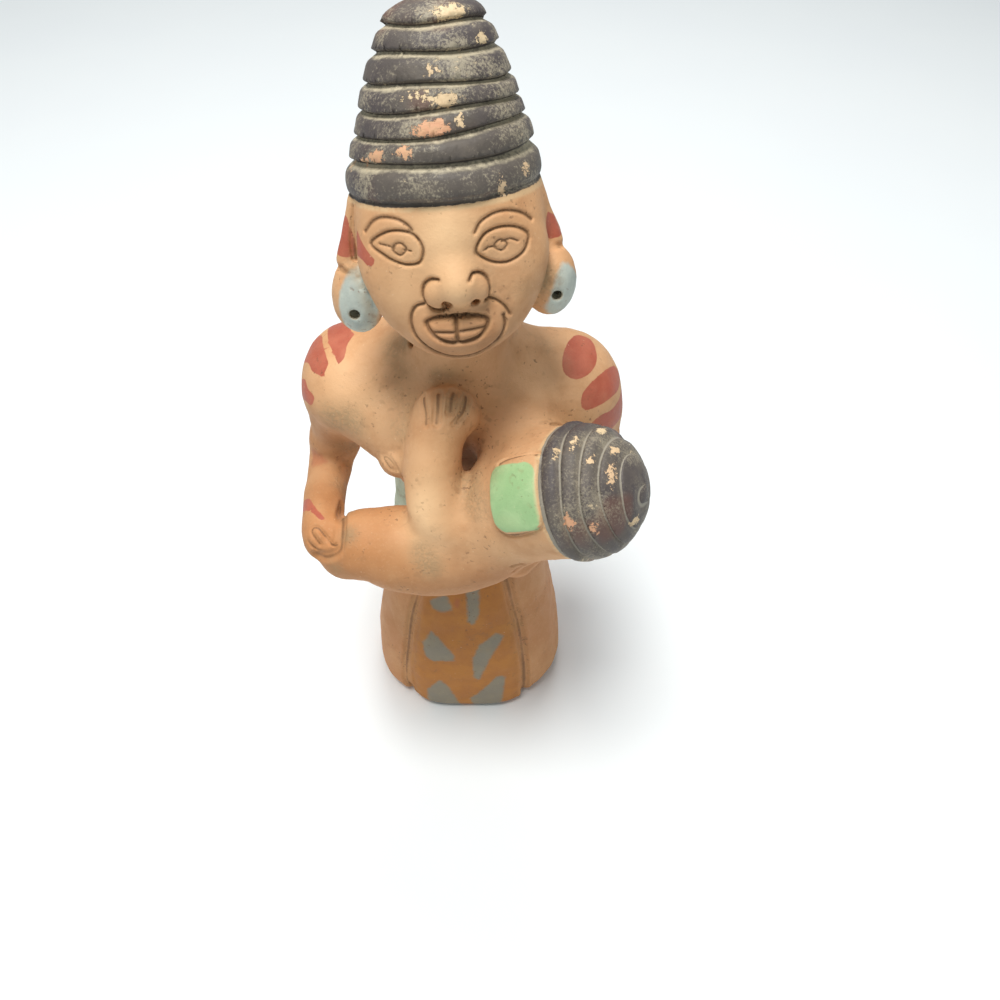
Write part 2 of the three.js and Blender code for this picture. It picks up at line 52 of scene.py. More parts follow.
# Edge lengths of the finished mesh
COARSE = 1.4  # smooth clay
FINE = 0.32  # beside an incised line
FACE = 0.68
GROOVE = 0.7  # beside a wide groove
HOLE = 0.38  # round a pierced hole
ROPE, RUT = 0.9, 0.38  # on a rope of clay, and between two ropes
FLAP = 0.5  # round the child's ear flap
TOO_LONG = 1.42  # an edge is split above this share of the length that its place needs


# Vectors, frames and blended shapes


def unit(v):
    v = np.asarray(v, float)
    return v / np.linalg.norm(v)


class Axes:
    def __init__(self, origin, across, along, out):
        self.origin = np.asarray(origin, float)
        self.rows = np.array([across, along, out], float)

    def at(self, *uvw):
        return self.origin + np.asarray(uvw, float) @ self.rows

    def local(self, p):
        return (p - self.origin) @ self.rows.T


def turned(origin, roll, tilt, turn):
    r = Matrix.Rotation(-roll, 3, "Y") @ Matrix.Rotation(-tilt, 3, "X") @ Matrix.Rotation(turn, 3, "Z")
    r = np.array(r)
    return Axes(origin, r @ [1, 0, 0], r @ [0, 0, 1], r @ [0, -1, 0])


WORLD = Axes([0, 0, 0], [1, 0, 0], [0, 0, 1], [0, -1, 0])
head = turned([0.4, -4, 165.5], math.radians(4.5), math.radians(17), math.radians(5))
child_along = unit([0.844, -0.273, 0.462])
child_out = np.array([-0.1, 0.77, 0.63])
child_out = unit(child_out - child_along * (child_out @ child_along))
child = Axes([25.4, -31, 110.8], np.cross(child_along, child_out), child_along, child_out)


def on_head(*places):
    return [head.at(*place) for place in places]


def on_child(*places):
    return [child.at(*place) for place in places]


def join(a, b, k):
    h = np.maximum(k - np.abs(a - b), 0)
    return np.minimum(a, b) - h * h / (4 * k)


def carve(a, b, k):
    return -join(-a, b, k)


def smooth(t):
    s = np.clip(t, 0, 1)
    return s * s * (3 - 2 * s)


def graded(levels, column, z):
    """Column number column of the levels at the heights z, on a smooth curve."""
    levels = np.asarray(levels, float)
    at, value = levels[:, 0], levels[:, column]
    last = len(at) - 1
    slope = np.array([
        (value[min(i + 1, last)] - value[max(i - 1, 0)]) / (at[min(i + 1, last)] - at[max(i - 1, 0)])
        for i in range(last + 1)
    ])
    n = np.searchsorted(at[1:last], z, side="left")
    span = at[n + 1] - at[n]
    t = np.clip((z - at[n]) / span, 0, 1)
    rise = t * t * (3 - 2 * t)
    bend = slope[n] * t * (1 - t) ** 2 - slope[n + 1] * t * t * (1 - t)
    return value[n] * (1 - rise) + value[n + 1] * rise + span * bend


def along(p, a, b):
    """How far along the line from a to b each point lies, from 0 to 1, and its distance from it, squared."""
    s = b - a
    t = np.clip((p - a) @ s / max(s @ s, 1e-12), 0, 1)
    return t, ((p - a - t[:, None] * s) ** 2).sum(1)


def spline(points, steps, closed=False):
    """A centripetal curve through the points."""
    p = np.asarray(points, float)
    if closed:
        p = np.vstack([p[-1], p, p[0], p[1]])
    else:
        p = np.vstack([2 * p[0] - p[1], p, 2 * p[-1] - p[-2]])
    out = []
    for i in range(1, len(p) - 2):
        a, b, c, d = p[i - 1 : i + 3]
        da, db, dc = (max(np.linalg.norm(e) ** 0.5, 1e-4) for e in (b - a, c - b, d - c))
        m = ((b - a) / da - (c - a) / (da + db) + (c - b) / db) * db
        n = ((c - b) / db - (d - b) / (db + dc) + (d - c) / dc) * db
        for t in np.arange(steps) / steps:
            out.append(b + m * t + (3 * (c - b) - 2 * m - n) * t**2 + (2 * (b - c) + m + n) * t**3)
    out.append(p[-2])
    return np.array(out)


class Lump:
    def __init__(self, distance, low, high):
        self.distance = distance
        self.low = np.asarray(low, float)
        self.high = np.asarray(high, float)

    def gap(self, p):
        return np.maximum(self.low - p, p - self.high).max(1)


def around(points, radii):
    points = np.asarray(points, float)
    radii = np.asarray(radii, float)[:, None]
    return (points - radii).min(0), (points + radii).max(0)


def limb(joints, radii, steps=5):
    """A tapering limb along a smooth curve through its joints."""
    points = spline(joints, steps)
    at = np.arange(len(points)) / steps
    n = np.minimum(at.astype(int), len(joints) - 2)
    radii = np.asarray(radii, float)
    girth = radii[n] + (radii[n + 1] - radii[n]) * smooth(at - n)

    def distance(p):
        best = np.full(len(p), np.inf)
        for i in range(len(points) - 1):
            t, away = along(p, points[i], points[i + 1])
            np.minimum(best, np.sqrt(away) - girth[i] - (girth[i + 1] - girth[i]) * t, out=best)
        return best

    return Lump(distance, *around(points, girth))


def ball(centre, sizes, axes=WORLD):
    centre = np.asarray(centre, float)
    sizes = np.asarray(sizes, float)

    def distance(p):
        q = (p - centre) @ axes.rows.T / sizes
        near = np.sqrt((q * q).sum(1))
        slope = np.sqrt(((q / sizes) ** 2).sum(1))
        return np.where(slope < 1e-9, -sizes.min(), near * (near - 1) / np.maximum(slope, 1e-9))

    return Lump(distance, *around([centre], [sizes.max()]))


def column(levels):
    """A rounded column: levels are [z, half width, front y, back y, squareness]."""
    levels = np.asarray(levels, float)

    def distance(p):
        x, y, z = p.T
        half, front, back, power = (graded(levels, n, z) for n in (1, 2, 3, 4))
        deep = (back - front) / 2
        u = np.abs(x) / half
        w = np.abs(y - (back + front) / 2) / deep
        near = (u**power + w**power) ** (1 / power)
        side = (near - 1) * np.minimum(half, deep)
        return np.maximum.reduce([side, z - levels[-1, 0], levels[0, 0] - z])

    most = levels.max(0)
    low = [-most[1], levels[:, 2].min(), levels[0, 0]]
    return Lump(distance, low, [most[1], most[3], levels[-1, 0]])


def block(axes, sizes, rounding):
    def distance(p):
        outside = np.abs(axes.local(p)) - np.asarray(sizes) + rounding
        corner = np.sqrt((np.maximum(outside, 0) ** 2).sum(1))
        return corner + np.minimum(outside.max(1), 0) - rounding

    return Lump(distance, *around([axes.origin], [math.hypot(*sizes)]))


def face_shield():
    half, cheek, chin, under_rim = 17, -9, -28.9, 5
    depth, edge, middle = 9.5, 5.5, 6.4

    def distance(p):
        u, v, w = head.local(p).T
        drop = np.minimum(v - cheek, 0)
        narrow = half - 0.055 * np.maximum(v - cheek, 0)
        near = np.hypot(u / narrow, drop / (cheek - chin))
        slope = np.hypot(u / narrow**2, drop / (cheek - chin) ** 2)
        outline = np.where(slope < 1e-9, -half, near * (near - 1) / np.maximum(slope, 1e-9))
        dome = 0.0045 * u * u + 0.002 * (v + 12) ** 2
        a = np.maximum(outline, v - under_rim) + edge
        b = np.abs(w - middle + dome) - depth + edge
        slab = np.hypot(np.maximum(a, 0), np.maximum(b, 0)) + np.minimum(np.maximum(a, b), 0) - edge
        under_headdress = 0.93 * (np.hypot(u, w) - 16.7 + 0.42 * v)
        return -join(-slab, -under_headdress, 2)

    return Lump(distance, *around([head.at(0, -12, 5)], [26]))


def rings(axes, outline, grooves, tilts, depth, lean, spiral_from, flanks):
    """Ropes of clay coiled up a frame's v axis, on a smooth cone whose sunk gives the depth of the grooves.

    Above spiral_from the rings run into a spiral. The flanks are the shares of a ring where it has risen
    from the groove below and where it starts to sink again.
    """
    top = outline[-1][0]
    outline = np.asarray(outline, float)
    count = np.arange(len(grooves))
    reach = math.hypot(outline[:, 1].max() + 2, top)

    def place(p):
        u, v, w = axes.local(p).T
        u = u - lean * (v - top / 3)
        angle = np.arctan2(-w, u)
        turn = np.interp(v, grooves, count)
        shift = np.interp(turn, count, tilts) * np.cos(angle) + 0.18 * np.sin(3 * angle + turn * 1.7)
        turn = np.interp(v - shift, grooves, count)
        turn = turn + smooth((v - spiral_from) / 3) * angle / (2 * math.pi)
        return u, v, w, turn

    def fall(v):
        slope = graded(outline, 1, v + 0.5) - graded(outline, 1, v - 0.5)
        return np.sqrt(1 + np.clip(slope, -3, 3) ** 2)

    def distance(p):
        u, v, w, _ = place(p)
        side = (np.hypot(u, w) - graded(outline, 1, v)) / fall(v)
        flat = np.maximum(v - top, -v)
        return -join(-side, -flat, 1.4)

    def sunk(p):
        _, v, _, turn = place(p)
        part = turn - np.floor(turn)
        sink = 1 - smooth(part / flanks[0]) + smooth((part - flanks[1]) / (1 - flanks[1])) ** 1.4
        return depth * sink * smooth(turn * 5) / fall(v)

    lump = Lump(distance, *around([axes.at(0, 0, 0)], [reach]))
    lump.place, lump.sunk = place, sunk
    return lump


# The mother's body


def shoulder(side):
    shift, rise, height = (1, 5.6, 11.4) if side < 0 else (1.8, -0.3, 15.5)  # the right armpit is open
    return ball([23.2 * side + shift, 1.5, 108.5 + rise], [14, height, 16])


loins = column([
    [-4, 22, -20, 19, 2.4], [0, 26.1, -24.2, 22.4, 2.5], [5, 29, -26.5, 24, 2.7], [14, 28.7, -26.3, 23, 2.7],
    [28, 26.7, -25, 20, 2.6], [44, 23.8, -22.5, 18, 2.5], [60, 21, -18.5, 15, 2.4], [76, 18, -15, 13, 2.3],
    [92, 17.2, -13.5, 14, 2.3], [106, 17.6, -14, 16, 2.3], [116, 19, -11, 14, 2.2], [124, 9, -7, 9, 2],
])
panel = column([
    [-4, 14, -21, -8, 2.8], [0, 16.9, -26.2, -8, 3], [5, 17.8, -28.2, -8, 3.4], [30, 16.6, -26.8, -8, 3.6],
    [55, 13, -21.5, -6, 3.4], [70, 11.5, -14.5, -4, 3.2],
])


def panel_groove(side):
    s = side
    line = [[11.4 * s, -18.2, 68], [12.6 * s, -19.6, 56], [15.2 * s, -22.8, 39], [17.8 * s, -24.4, 22],
            [18.1 * s, -24.4, 3]]
    return limb(line, [0.7, 1.15, 1.05, 0.95, 0.85])


def seat(side):
    return ball([9.5 * side, 12, 36], [11, 15, 10])


def foot(side):
    return limb([[14 * side, -6, 8], [13 * side, 23, 7]], [11, 8])


def breast(side):
    return limb([[13 * side, -9, 113], [12.5 * side, -18.3, 108.4]], [10, 4.8])


mother = [
    (loins, 1),
    (seat(1), 6), (seat(-1), 6), (foot(1), 5), (foot(-1), 5),
    (limb([[-13, 1, 114.5], [13, 1, 114.5]], [12.2, 12.2]), 8),
    (limb([[0.5, 0, 116], [1, -2.5, 130], [1.5, -5, 146]], [14, 11.2, 10.5]), 8),
    (shoulder(-1), 6), (shoulder(1), 6),
    (breast(-1), 5), (breast(1), 5),
    (limb(
        [[-26.4, 0, 108], [-30.2, -0.5, 98], [-32.7, -2.5, 90.5], [-32.8, -13, 90.3], [-31.2, -26, 92.6]],
        [9, 6.7, 5.5, 4.9, 4.9],
    ), 4),
    (limb([[28.4, 0, 105], [33.6, -1.5, 92], [30, -14, 89], [21, -23, 88]], [8.8, 6.8, 5.6, 5]), 4),
]
mother_head = [
    (ball(head.at(0, -5, -1), [16.4, 14, 15.2], head), 2),
    (face_shield(), 4),
    (ball(head.at(0.2, -8.5, 13.4), [3.2, 6.5, 2.9], head), 5),
    (ball(head.at(0.2, -13.7, 15.6), [4.2, 4.1, 4.8], head), 3),
    (ball(head.at(3.5, -14.6, 15.6), [2.6, 2.8, 3], head), 0.9),
    (ball(head.at(-3.4, -14.9, 15.6), [2.6, 2.8, 3], head), 0.9),
    (ball(head.at(0, -22.2, 12), [9, 5.7, 6.3], head), 2),
]


def ear(side):
    spread = 18 * side - 0.6
    lean = 0.36 * side
    c, s = math.cos(lean), math.sin(lean)
    across = c * head.rows[0] + s * head.rows[1]
    upward = c * head.rows[1] - s * head.rows[0]
    leaning = Axes(head.at(spread - 1.3 * side, -6.5, -0.5), across, upward, head.rows[2])
    return [
        (block(leaning, [2.5, 7, 5], 1.8), 1),
        (ball(head.at(spread, -18.2, 3.4), [5.2, 6.8, 6], head), 0.8),
    ]


child_head = limb([child.at(-0.6, -14.6, -1.2), child.at(0, -5, 0), child.at(0, 1.5, 0)], [12.2, 13.9, 14.2])
child_body = [
    (limb(
        [[-25, -30.2, 89.8], [-19.5, -30.3, 91.4], [-12, -30.8, 90.3], [-4, -31, 89], [5, -30, 91.5],
         [11, -29, 97]],
        [7.3, 8.4, 10, 10.2, 10.2, 10],
    ), 2),
    (child_head, 5),
    (limb(
        [[3, -30, 97], [-2.9, -30, 101.5], [-4.7, -25.5, 110], [-3.4, -20.5, 118]],
        [6.5, 6.4, 6.2, 5.9],
    ), 4),
    (ball([-0.9, -18, 121.6], [6.7, 6.3, 4]), 3),
]


def flap_outline(p, lower=0.0):
    """Distance from the edge of the child's ear flap, measured along the side of the head."""
    _, v, w = child.local(p).T
    a = np.abs(v + 6.2) - 6.1 + 3.2
    b = np.abs(w - 0.6 + lower) - 7.9 + lower + 3.2
    return np.hypot(np.maximum(a, 0), np.maximum(b, 0)) + np.minimum(np.maximum(a, b), 0) - 3.2


def child_ear_flap():
    def distance(p):
        u = child.local(p)[:, 0]
        return np.maximum(carve(flap_outline(p), 1.2 - child_head.distance(p), 1), -u)

    return Lump(distance, *around([child.at(12, -6, 1)], [12]))


headdress = rings(
    head,
    outline=[
        [0, 17.1], [2, 17.4], [4, 17], [5.4, 16.5], [8, 16], [10, 15.2], [12.5, 14.3], [15, 13.5], [18, 12.4],
        [21, 11.1], [23, 10.2], [25, 8.9], [26.6, 7.9], [28, 5.3], [29, 2.6],
    ],
    grooves=[0, 5.9, 9.9, 13.4, 16.9, 21.3, 25, 28.6],
    tilts=[0, 0.15, 0.8, 0.3, -0.3, -0.2, 0, 0],
    depth=1.25, lean=0.04, spiral_from=25, flanks=(0.15, 0.6),
)
cap = rings(
    child,
    outline=[[0, 14.5], [2, 14.9], [4, 14.5], [8, 13.4], [11, 11.5], [14, 7.8], [15.6, 4.4], [16.3, 2]],
    grooves=[0, 3.7, 7.8, 10.9, 14, 16],
    tilts=[0, 0.3, 0, 0.3, 0, 0],
    depth=1.0, lean=0, spiral_from=10, flanks=(0.2, 0.62),
)
mother_hand = ball([-30.5, -28.6, 92.2], [5, 5.3, 5.2])
other_hand = limb([[20, -24, 88], [13.6, -30.3, 86.4]], [5, 4.8])
back_groove = limb([[0, 23, 52], [0, 24.5, 32], [0, 24, 16], [0, 25, 0]], [1.4, 1.8, 2.4, 2.4])

lumps = [
    *mother, *mother_head, *ear(1), *ear(-1), *child_body, (child_ear_flap(), 0.4),
    (mother_hand, 1.2), (other_hand, 1.5), (panel, 0.8), (headdress, 0.3), (cap, 0.3),
]


# Cuts of the modelling tool: (tool, softness of its edges, edge length beside it)
hollows = [
    (panel_groove(1), 1.3, GROOVE), (panel_groove(-1), 1.3, GROOVE), (back_groove, 1.5, GROOVE),
    # pierced ear spools and nostrils
    (limb(on_head((18.2, -19.8, 13), (18.2, -19.8, 4)), [0.95, 0.75], 4), 0.6, HOLE),
    (limb(on_head((-19.4, -19.8, 13), (-19.4, -19.8, 4)), [0.95, 0.75], 4), 0.6, HOLE),
    (limb(on_head((-2, -16.9, 20), (-2, -16, 15)), [0.95, 0.6], 4), 0.5, HOLE),
    (limb(on_head((3, -17, 20), (3, -16.1, 15)), [0.95, 0.6], 4), 0.5, HOLE),
    # small hollow beside the neck
    (limb([[-9, -9, 132.6], [-7, -5, 130]], [0.9, 0.5], 4), 1.0, HOLE),
]


# Incised lines on the face, as (u, v) in the head's frame: (points, closed, half width, depth)
EYES = [
    [(-13.8, -6.3), (-11, -4.3), (-8.4, -4), (-6, -4.9), (-4.9, -7.1), (-5.7, -9.3), (-7.8, -9.7), (-10, -9),
     (-12, -7.7)],
    [(3.9, -8.2), (5.4, -5.7), (7.4, -4.9), (9.6, -4.9), (11.7, -5.6), (13.1, -7), (12.4, -9), (11.2, -10),
     (9.2, -10.8), (7, -10.6), (5, -9.5)],
]
PUPILS = [
    [(-10.1, -6.9), (-8.9, -5.9), (-7.7, -6.9), (-8.9, -8)],
    [(7, -7.8), (8.2, -6.8), (9.3, -7.7), (8.3, -8.7)],
]
GLANCES = [
    [(-12.2, -6.1), (-10.8, -6.4), (-9.7, -6.8)], [(-8.1, -7.1), (-7, -7.4)],
    [(5.3, -8.2), (6.4, -7.8), (7.4, -8)], [(8.4, -7.2), (9.8, -6.9), (11.2, -7.5)],
]
BROWS = [
    [(-14.6, -4.6), (-13.2, -3), (-11.6, -2.1), (-9.8, -2), (-8.2, -2.4), (-6.9, -3.3), (-6.4, -4)],
    [(4, -5.1), (4.9, -3.7), (6.8, -2.7), (8.8, -2.4), (10.9, -2.8), (12.6, -3.7), (13.9, -4.9)],
]
NOSE = [
    [(-2.9, -11.9), (-4.2, -12.1), (-5.5, -13.2), (-5.9, -14.9), (-5.4, -16.5), (-4.4, -17.5), (-3.1, -17.7),
     (-2.2, -17.3)],
    [(2.3, -12.2), (3, -11.4), (4.2, -11.7), (5.3, -12.8), (5.7, -14.2), (5.5, -15.8), (4.8, -16.8)],
]
MUZZLE = [(-5.9, -16.6), (-7.4, -17), (-8.4, -18.5), (-8.6, -20.8), (-7.9, -22.9), (-6.3, -24.6), (-4.3, -26),
          (-2.3, -26.9), (0, -27.2), (2.5, -26.8), (4.9, -25.7), (6.9, -24), (7.9, -22), (7.8, -20)]
FOLD = [(4.9, -16.4), (6, -16.8), (7.2, -17.6), (8.2, -18.7), (8.9, -20.1)]
MOUTH = [(-5.9, -20), (-4.8, -19.4), (-3.5, -19.1), (-0.8, -19), (1.8, -19.1), (3.7, -19.6), (4.9, -20.4),
         (4.3, -21.9), (2.9, -23), (0.5, -23.5), (-1.3, -23.5), (-3, -23.2), (-4.8, -22.2)]
TEETH = [[(-0.7, -19), (-0.8, -23.5)], [(-5.4, -21.5), (-1, -21.6)], [(-0.6, -21.5), (4.4, -21.4)]]
face_lines = [
    *[(eye, True, 0.34, 0.6) for eye in EYES],
    *[(pupil, True, 0.26, 0.35) for pupil in PUPILS],
    *[(glance, False, 0.24, 0.35) for glance in GLANCES],
    *[(brow, False, 0.34, 0.5) for brow in BROWS],
    *[(wing, False, 0.36, 0.7) for wing in NOSE],
    (MUZZLE, False, 0.38, 0.65), (FOLD, False, 0.36, 0.6), (MOUTH, True, 0.5, 0.95),
    (TEETH[0], False, 0.5, 0.85), (TEETH[1], False, 0.36, 0.6), (TEETH[2], False, 0.36, 0.6),
]

# Incised lines elsewhere: (points near the clay, closed, half width, depth)
body_lines = [
    # the child's fingers
    ([[-6, -18, 125.9], [-5.8, -19.8, 125.4], [-5.4, -21.5, 124.3], [-5.4, -23, 123.2]], False, 0.62, 1.3),
    ([[-2.8, -18.8, 127.5], [-2.8, -20.5, 126.3], [-2.9, -21.7, 124.9], [-3.1, -23, 123.6]],
     False, 0.75, 1.5),
    ([[0.5, -18.4, 127.7], [0.1, -20, 127], [-0.2, -21.6, 125.1]], False, 0.8, 1.3),
    ([[3.2, -18.4, 126.6], [3, -19.9, 125.8], [2.4, -21, 124.4], [0.8, -22.6, 122.7]], False, 0.65, 1.3),
    # slit between the right ear flap and the face
    ([[-15.7, -11, 164.3], [-16, -11.6, 161.7], [-16.2, -11.9, 159.5], [-16.3, -12.4, 157.6],
      [-16.3, -12.9, 155.7]], False, 0.5, 1.6),
    # grooves beside the skirt's front panel
    ([[-11, -17, 64], [-12.2, -18, 56], [-13.2, -18.6, 51.4], [-15.4, -19.9, 42.5], [-16.5, -20.9, 35.7],
      [-17.7, -21.8, 27.1], [-19.1, -22.6, 16.3], [-19.4, -23.2, 8.7], [-18.8, -23, -2]], False, 0.85, 1.7),
    ([[11, -17, 64], [12.3, -17.8, 56.1], [13.5, -19.1, 49.3], [15.2, -20.5, 41.1], [16.3, -21.6, 33.2],
      [17, -22.6, 24.5], [17.6, -23.3, 14.7], [17.5, -23.4, 4.6], [17.2, -23, -2]], False, 1.0, 1.9),
    # cracks above and below the child's ear flap
    (on_child((12.1, -9.6, 6.9), (12.3, -8.4, 7.8), (12.4, -6.5, 8.2), (12.2, -4.6, 8.1), (12, -2.7, 8.6),
              (11.7, -1, 8.2)), False, 0.5, 1.1),
    (on_child((11, -12.3, -5.6), (11.2, -10.4, -7.6), (12, -6.4, -8), (13.2, -1, -7.4)), False, 0.45, 0.9),
    # the child's eyes, on the side towards her
    (on_child((-11, -6, 11), (-9.8, -5, 11), (-8, -6, 12), (-9.8, -7, 11)), True, 0.34, 0.4),
    (on_child((-5.2, -6, 13), (-3.8, -5, 13), (-2.2, -6, 13), (-3.8, -7, 13)), True, 0.34, 0.4),
    # creases above the ear lobes
    (on_head((-16.8, -11.4, 7), (-19.4, -11.9, 7), (-22.4, -12, 4)), False, 0.5, 0.8),
    (on_head((15.8, -11.2, 9), (18.2, -11.1, 8), (20.6, -11.5, 5)), False, 0.5, 0.7),
    # edge of the mother's right hand on the child's leg
    ([[-27.2, -20.2, 93], [-27, -23.2, 94.3], [-25.6, -28.5, 97.8], [-25.3, -32.3, 97.8],
      [-25.4, -34.2, 96.9], [-25.8, -35.2, 95.9], [-27.4, -35.4, 94.3], [-29.7, -34.9, 92.9],
      [-31.5, -33.6, 92]], False, 0.85, 1.3),
    # nipple
    ([[-15.5, -21, 110.8], [-14.7, -21.4, 111.3], [-13.4, -22.6, 110.5], [-12.7, -23.4, 109.2],
      [-14, -22.9, 109.1], [-14.8, -22.2, 110]], True, 0.44, 0.8),
    # the mother's right thumb
    ([[-30.5, -33, 95.2], [-31.5, -32, 96.1], [-32.2, -31, 96.5], [-32.4, -30.3, 96.8], [-31.9, -29.9, 97.2],
      [-30.9, -30.2, 97.3], [-29.1, -31.9, 96.3], [-27.4, -33.7, 95.8], [-25.6, -34.2, 96.8]],
     False, 0.4, 0.75),
    ([[-32.9, -31.6, 94.4], [-31.4, -33.4, 93.8], [-29.4, -34.6, 93.8]], False, 0.4, 0.4),
    # two marks of her left fingertips under the child
    ([[12.7, -39.7, 96.2], [14.4, -39.7, 97.1], [16.1, -39.1, 96.3]], False, 0.4, 0.6),
    ([[13.1, -38.3, 91.9], [14, -38.7, 93.7], [15.5, -39, 95.6]], False, 0.4, 0.5),
]
LIP = (0.12, 2.2, 0.7)  # clay pushed up beside a line: share of its depth, place and width in line widths


def gradient(distance, p, h=0.05):
    steps = np.eye(3) * h
    g = np.column_stack([distance(p + s) - distance(p - s) for s in steps])
    return g / np.maximum(np.linalg.norm(g, axis=1), 1e-9)[:, None]


def on_surface(points):
    p = np.asarray(points, float)
    for _ in range(8):
        p = p - gradient(coarse, p, 0.2) * np.clip(coarse(p), -1.5, 1.5)[:, None]
    return p


def line_distance(q, points, closed):
    """Distance in the plane or in space from q to a smooth line."""
    curve = spline(points, 4, closed)
    best = np.full(len(q), np.inf)
    for a, b in zip(curve[:-1], curve[1:]):
        np.minimum(best, along(q, a, b)[1], out=best)
    return np.sqrt(best)


def incised(p):
    """(how far each point lies below the smooth clay, how near it is to a cut line in line widths)."""
    sunk = np.zeros(len(p))
    near = np.full(len(p), 9.0)
    rise, at, wide = LIP
    h = head.local(p)
    on_face = np.flatnonzero((h[:, 2] > 4) & (np.abs(h[:, 0]) < 24) & (h[:, 1] < 1) & (h[:, 1] > -30))
    jobs = [(on_face, h[on_face, :2], face_lines)]
    for line in body_lines:
        low, high = np.min(line[0], 0) - 2.5, np.max(line[0], 0) + 2.5
        there = np.flatnonzero(((p > low) & (p < high)).all(1))
        jobs.append((there, p[there], [line]))
    for there, q, lines in jobs:
        if not len(there):
            continue
        cut = np.zeros(len(there))
        close = np.full(len(there), 9.0)
        for points, closed, width, depth in lines:
            away = line_distance(q, points, closed) / width
            cut = np.maximum(cut, depth * np.exp(-away**2))
            cut -= rise * depth * np.exp(-((away - at) / wide) ** 2)
            close = np.minimum(close, away)
        sunk[there] = np.where(np.abs(cut) > np.abs(sunk[there]), cut, sunk[there])
        near[there] = np.minimum(near[there], close)
    return sunk, near


rng = np.random.default_rng(7)


def waves(count, length):
    """A smooth random field of about the given wavelength."""
    directions = rng.normal(size=(count, 3))
    directions *= 2 * math.pi / length / np.linalg.norm(directions, axis=1)[:, None]
    directions *= rng.uniform(0.6, 1.6, (count, 1))
    phases = rng.uniform(0, 2 * math.pi, count)
    return lambda p: np.sin(p @ directions.T + phases).sum(1) / math.sqrt(count / 2)


dents = waves(14, 16)
ripples = waves(18, 6)


def coarse(p):
    """Distance from the blended clay without incised lines."""
    d = np.full(len(p), FAR)
    for lump, blend in lumps:
        near = np.flatnonzero(lump.gap(p) < np.minimum(d + blend, FAR))
        if len(near):
            d[near] = join(d[near], lump.distance(p[near]), blend)
    for lump, blend, _ in hollows:
        near = np.flatnonzero(lump.gap(p) < blend + 1)
        if len(near):
            d[near] = carve(d[near], lump.distance(p[near]), blend)
    return np.maximum(d, -p[:, 2])


body_lines = [(on_surface(points), *rest) for points, *rest in body_lines]


def fine(p):
    """Distance from the finished surface, with lines and the unevenness of hand-pressed clay."""
    d = coarse(p)
    for lump in (headdress, cap):
        near = np.flatnonzero(lump.gap(p) < 0.5)
        share = np.clip(1.2 - (lump.distance(p[near]) - d[near]) / 0.5, 0, 1)
        d[near] += share * lump.sunk(p[near])
    d = d + incised(p)[0]
    calm = smooth((np.abs(p[:, 2]) - 0.2) / 3)
    return d + calm * (0.10 * dents(p) + 0.035 * ripples(p))


# Meshing


def surface_net(distance, low, high, cell):
    """An even mesh of the zero surface, one point in each grid cell that it crosses."""
    low = np.asarray(low, float)
    size = np.ceil((np.asarray(high) - low) / cell).astype(int) + 1
    steps = [low[i] + cell * np.arange(size[i]) for i in range(3)]
    value = np.empty(size)
    for i, x in enumerate(steps[0]):
        y, z = np.meshgrid(steps[1], steps[2], indexing="ij")
        p = np.column_stack([np.full(y.size, x), y.ravel(), z.ravel()])
        value[i] = distance(p).reshape(y.shape)
    cells = tuple(size - 1)
    total = math.prod(cells)
    sums = np.zeros((4, total))
    quads = []
    for a in range(3):
        b, c = (a + 1) % 3, (a + 2) % 3
        v0 = np.take(value, range(size[a] - 1), a)
        v1 = np.take(value, range(1, size[a]), a)
        edges = np.argwhere((v0 < 0) != (v1 < 0))
        beside = edges[:, [b, c]]
        edges = edges[((beside > 0) & (beside < size[[b, c]] - 1)).all(1)]
        start, end = v0[tuple(edges.T)], v1[tuple(edges.T)]
        point = edges.astype(float)
        point[:, a] += start / (start - end)
        keys = []
        for db, dc in ((1, 1), (0, 1), (0, 0), (1, 0)):
            at = edges.copy()
            at[:, b] -= db
            at[:, c] -= dc
            key = np.ravel_multi_index(tuple(at.T), cells)
            keys.append(key)
            for n in range(3):
                sums[n] += np.bincount(key, point[:, n], total)
            sums[3] += np.bincount(key, minlength=total)
        keys = np.column_stack(keys)
        keys[start > 0] = keys[start > 0][:, ::-1]
        quads.append(keys)
    quads = np.vstack(quads)
    used, index = np.unique(quads, return_inverse=True)
    points = low + cell * (sums[:3, used] / sums[3, used]).T
    q = index.reshape(-1, 4)
    diagonals = [np.linalg.norm(points[q[:, n]] - points[q[:, n + 2]], axis=1) for n in (0, 1)]
    across = (diagonals[0] < diagonals[1])[:, None]
    one = np.where(across, q[:, [0, 1, 2]], q[:, [0, 1, 3]])
    two = np.where(across, q[:, [0, 2, 3]], q[:, [1, 2, 3]])
    return points, np.vstack([one, two])


def settle(p):
    """Moves points onto the finished surface, along the normals of the smooth clay."""
    for _ in range(2):
        n = gradient(coarse, p, 0.25)
        p = p - n * coarse(p)[:, None]
    n = gradient(coarse, p, 0.25)
    for _ in range(4):
        p = p - 0.85 * n * fine(p)[:, None]
    p[:, 2] = np.where(p[:, 2] < 0.12, 0, p[:, 2])
    return p


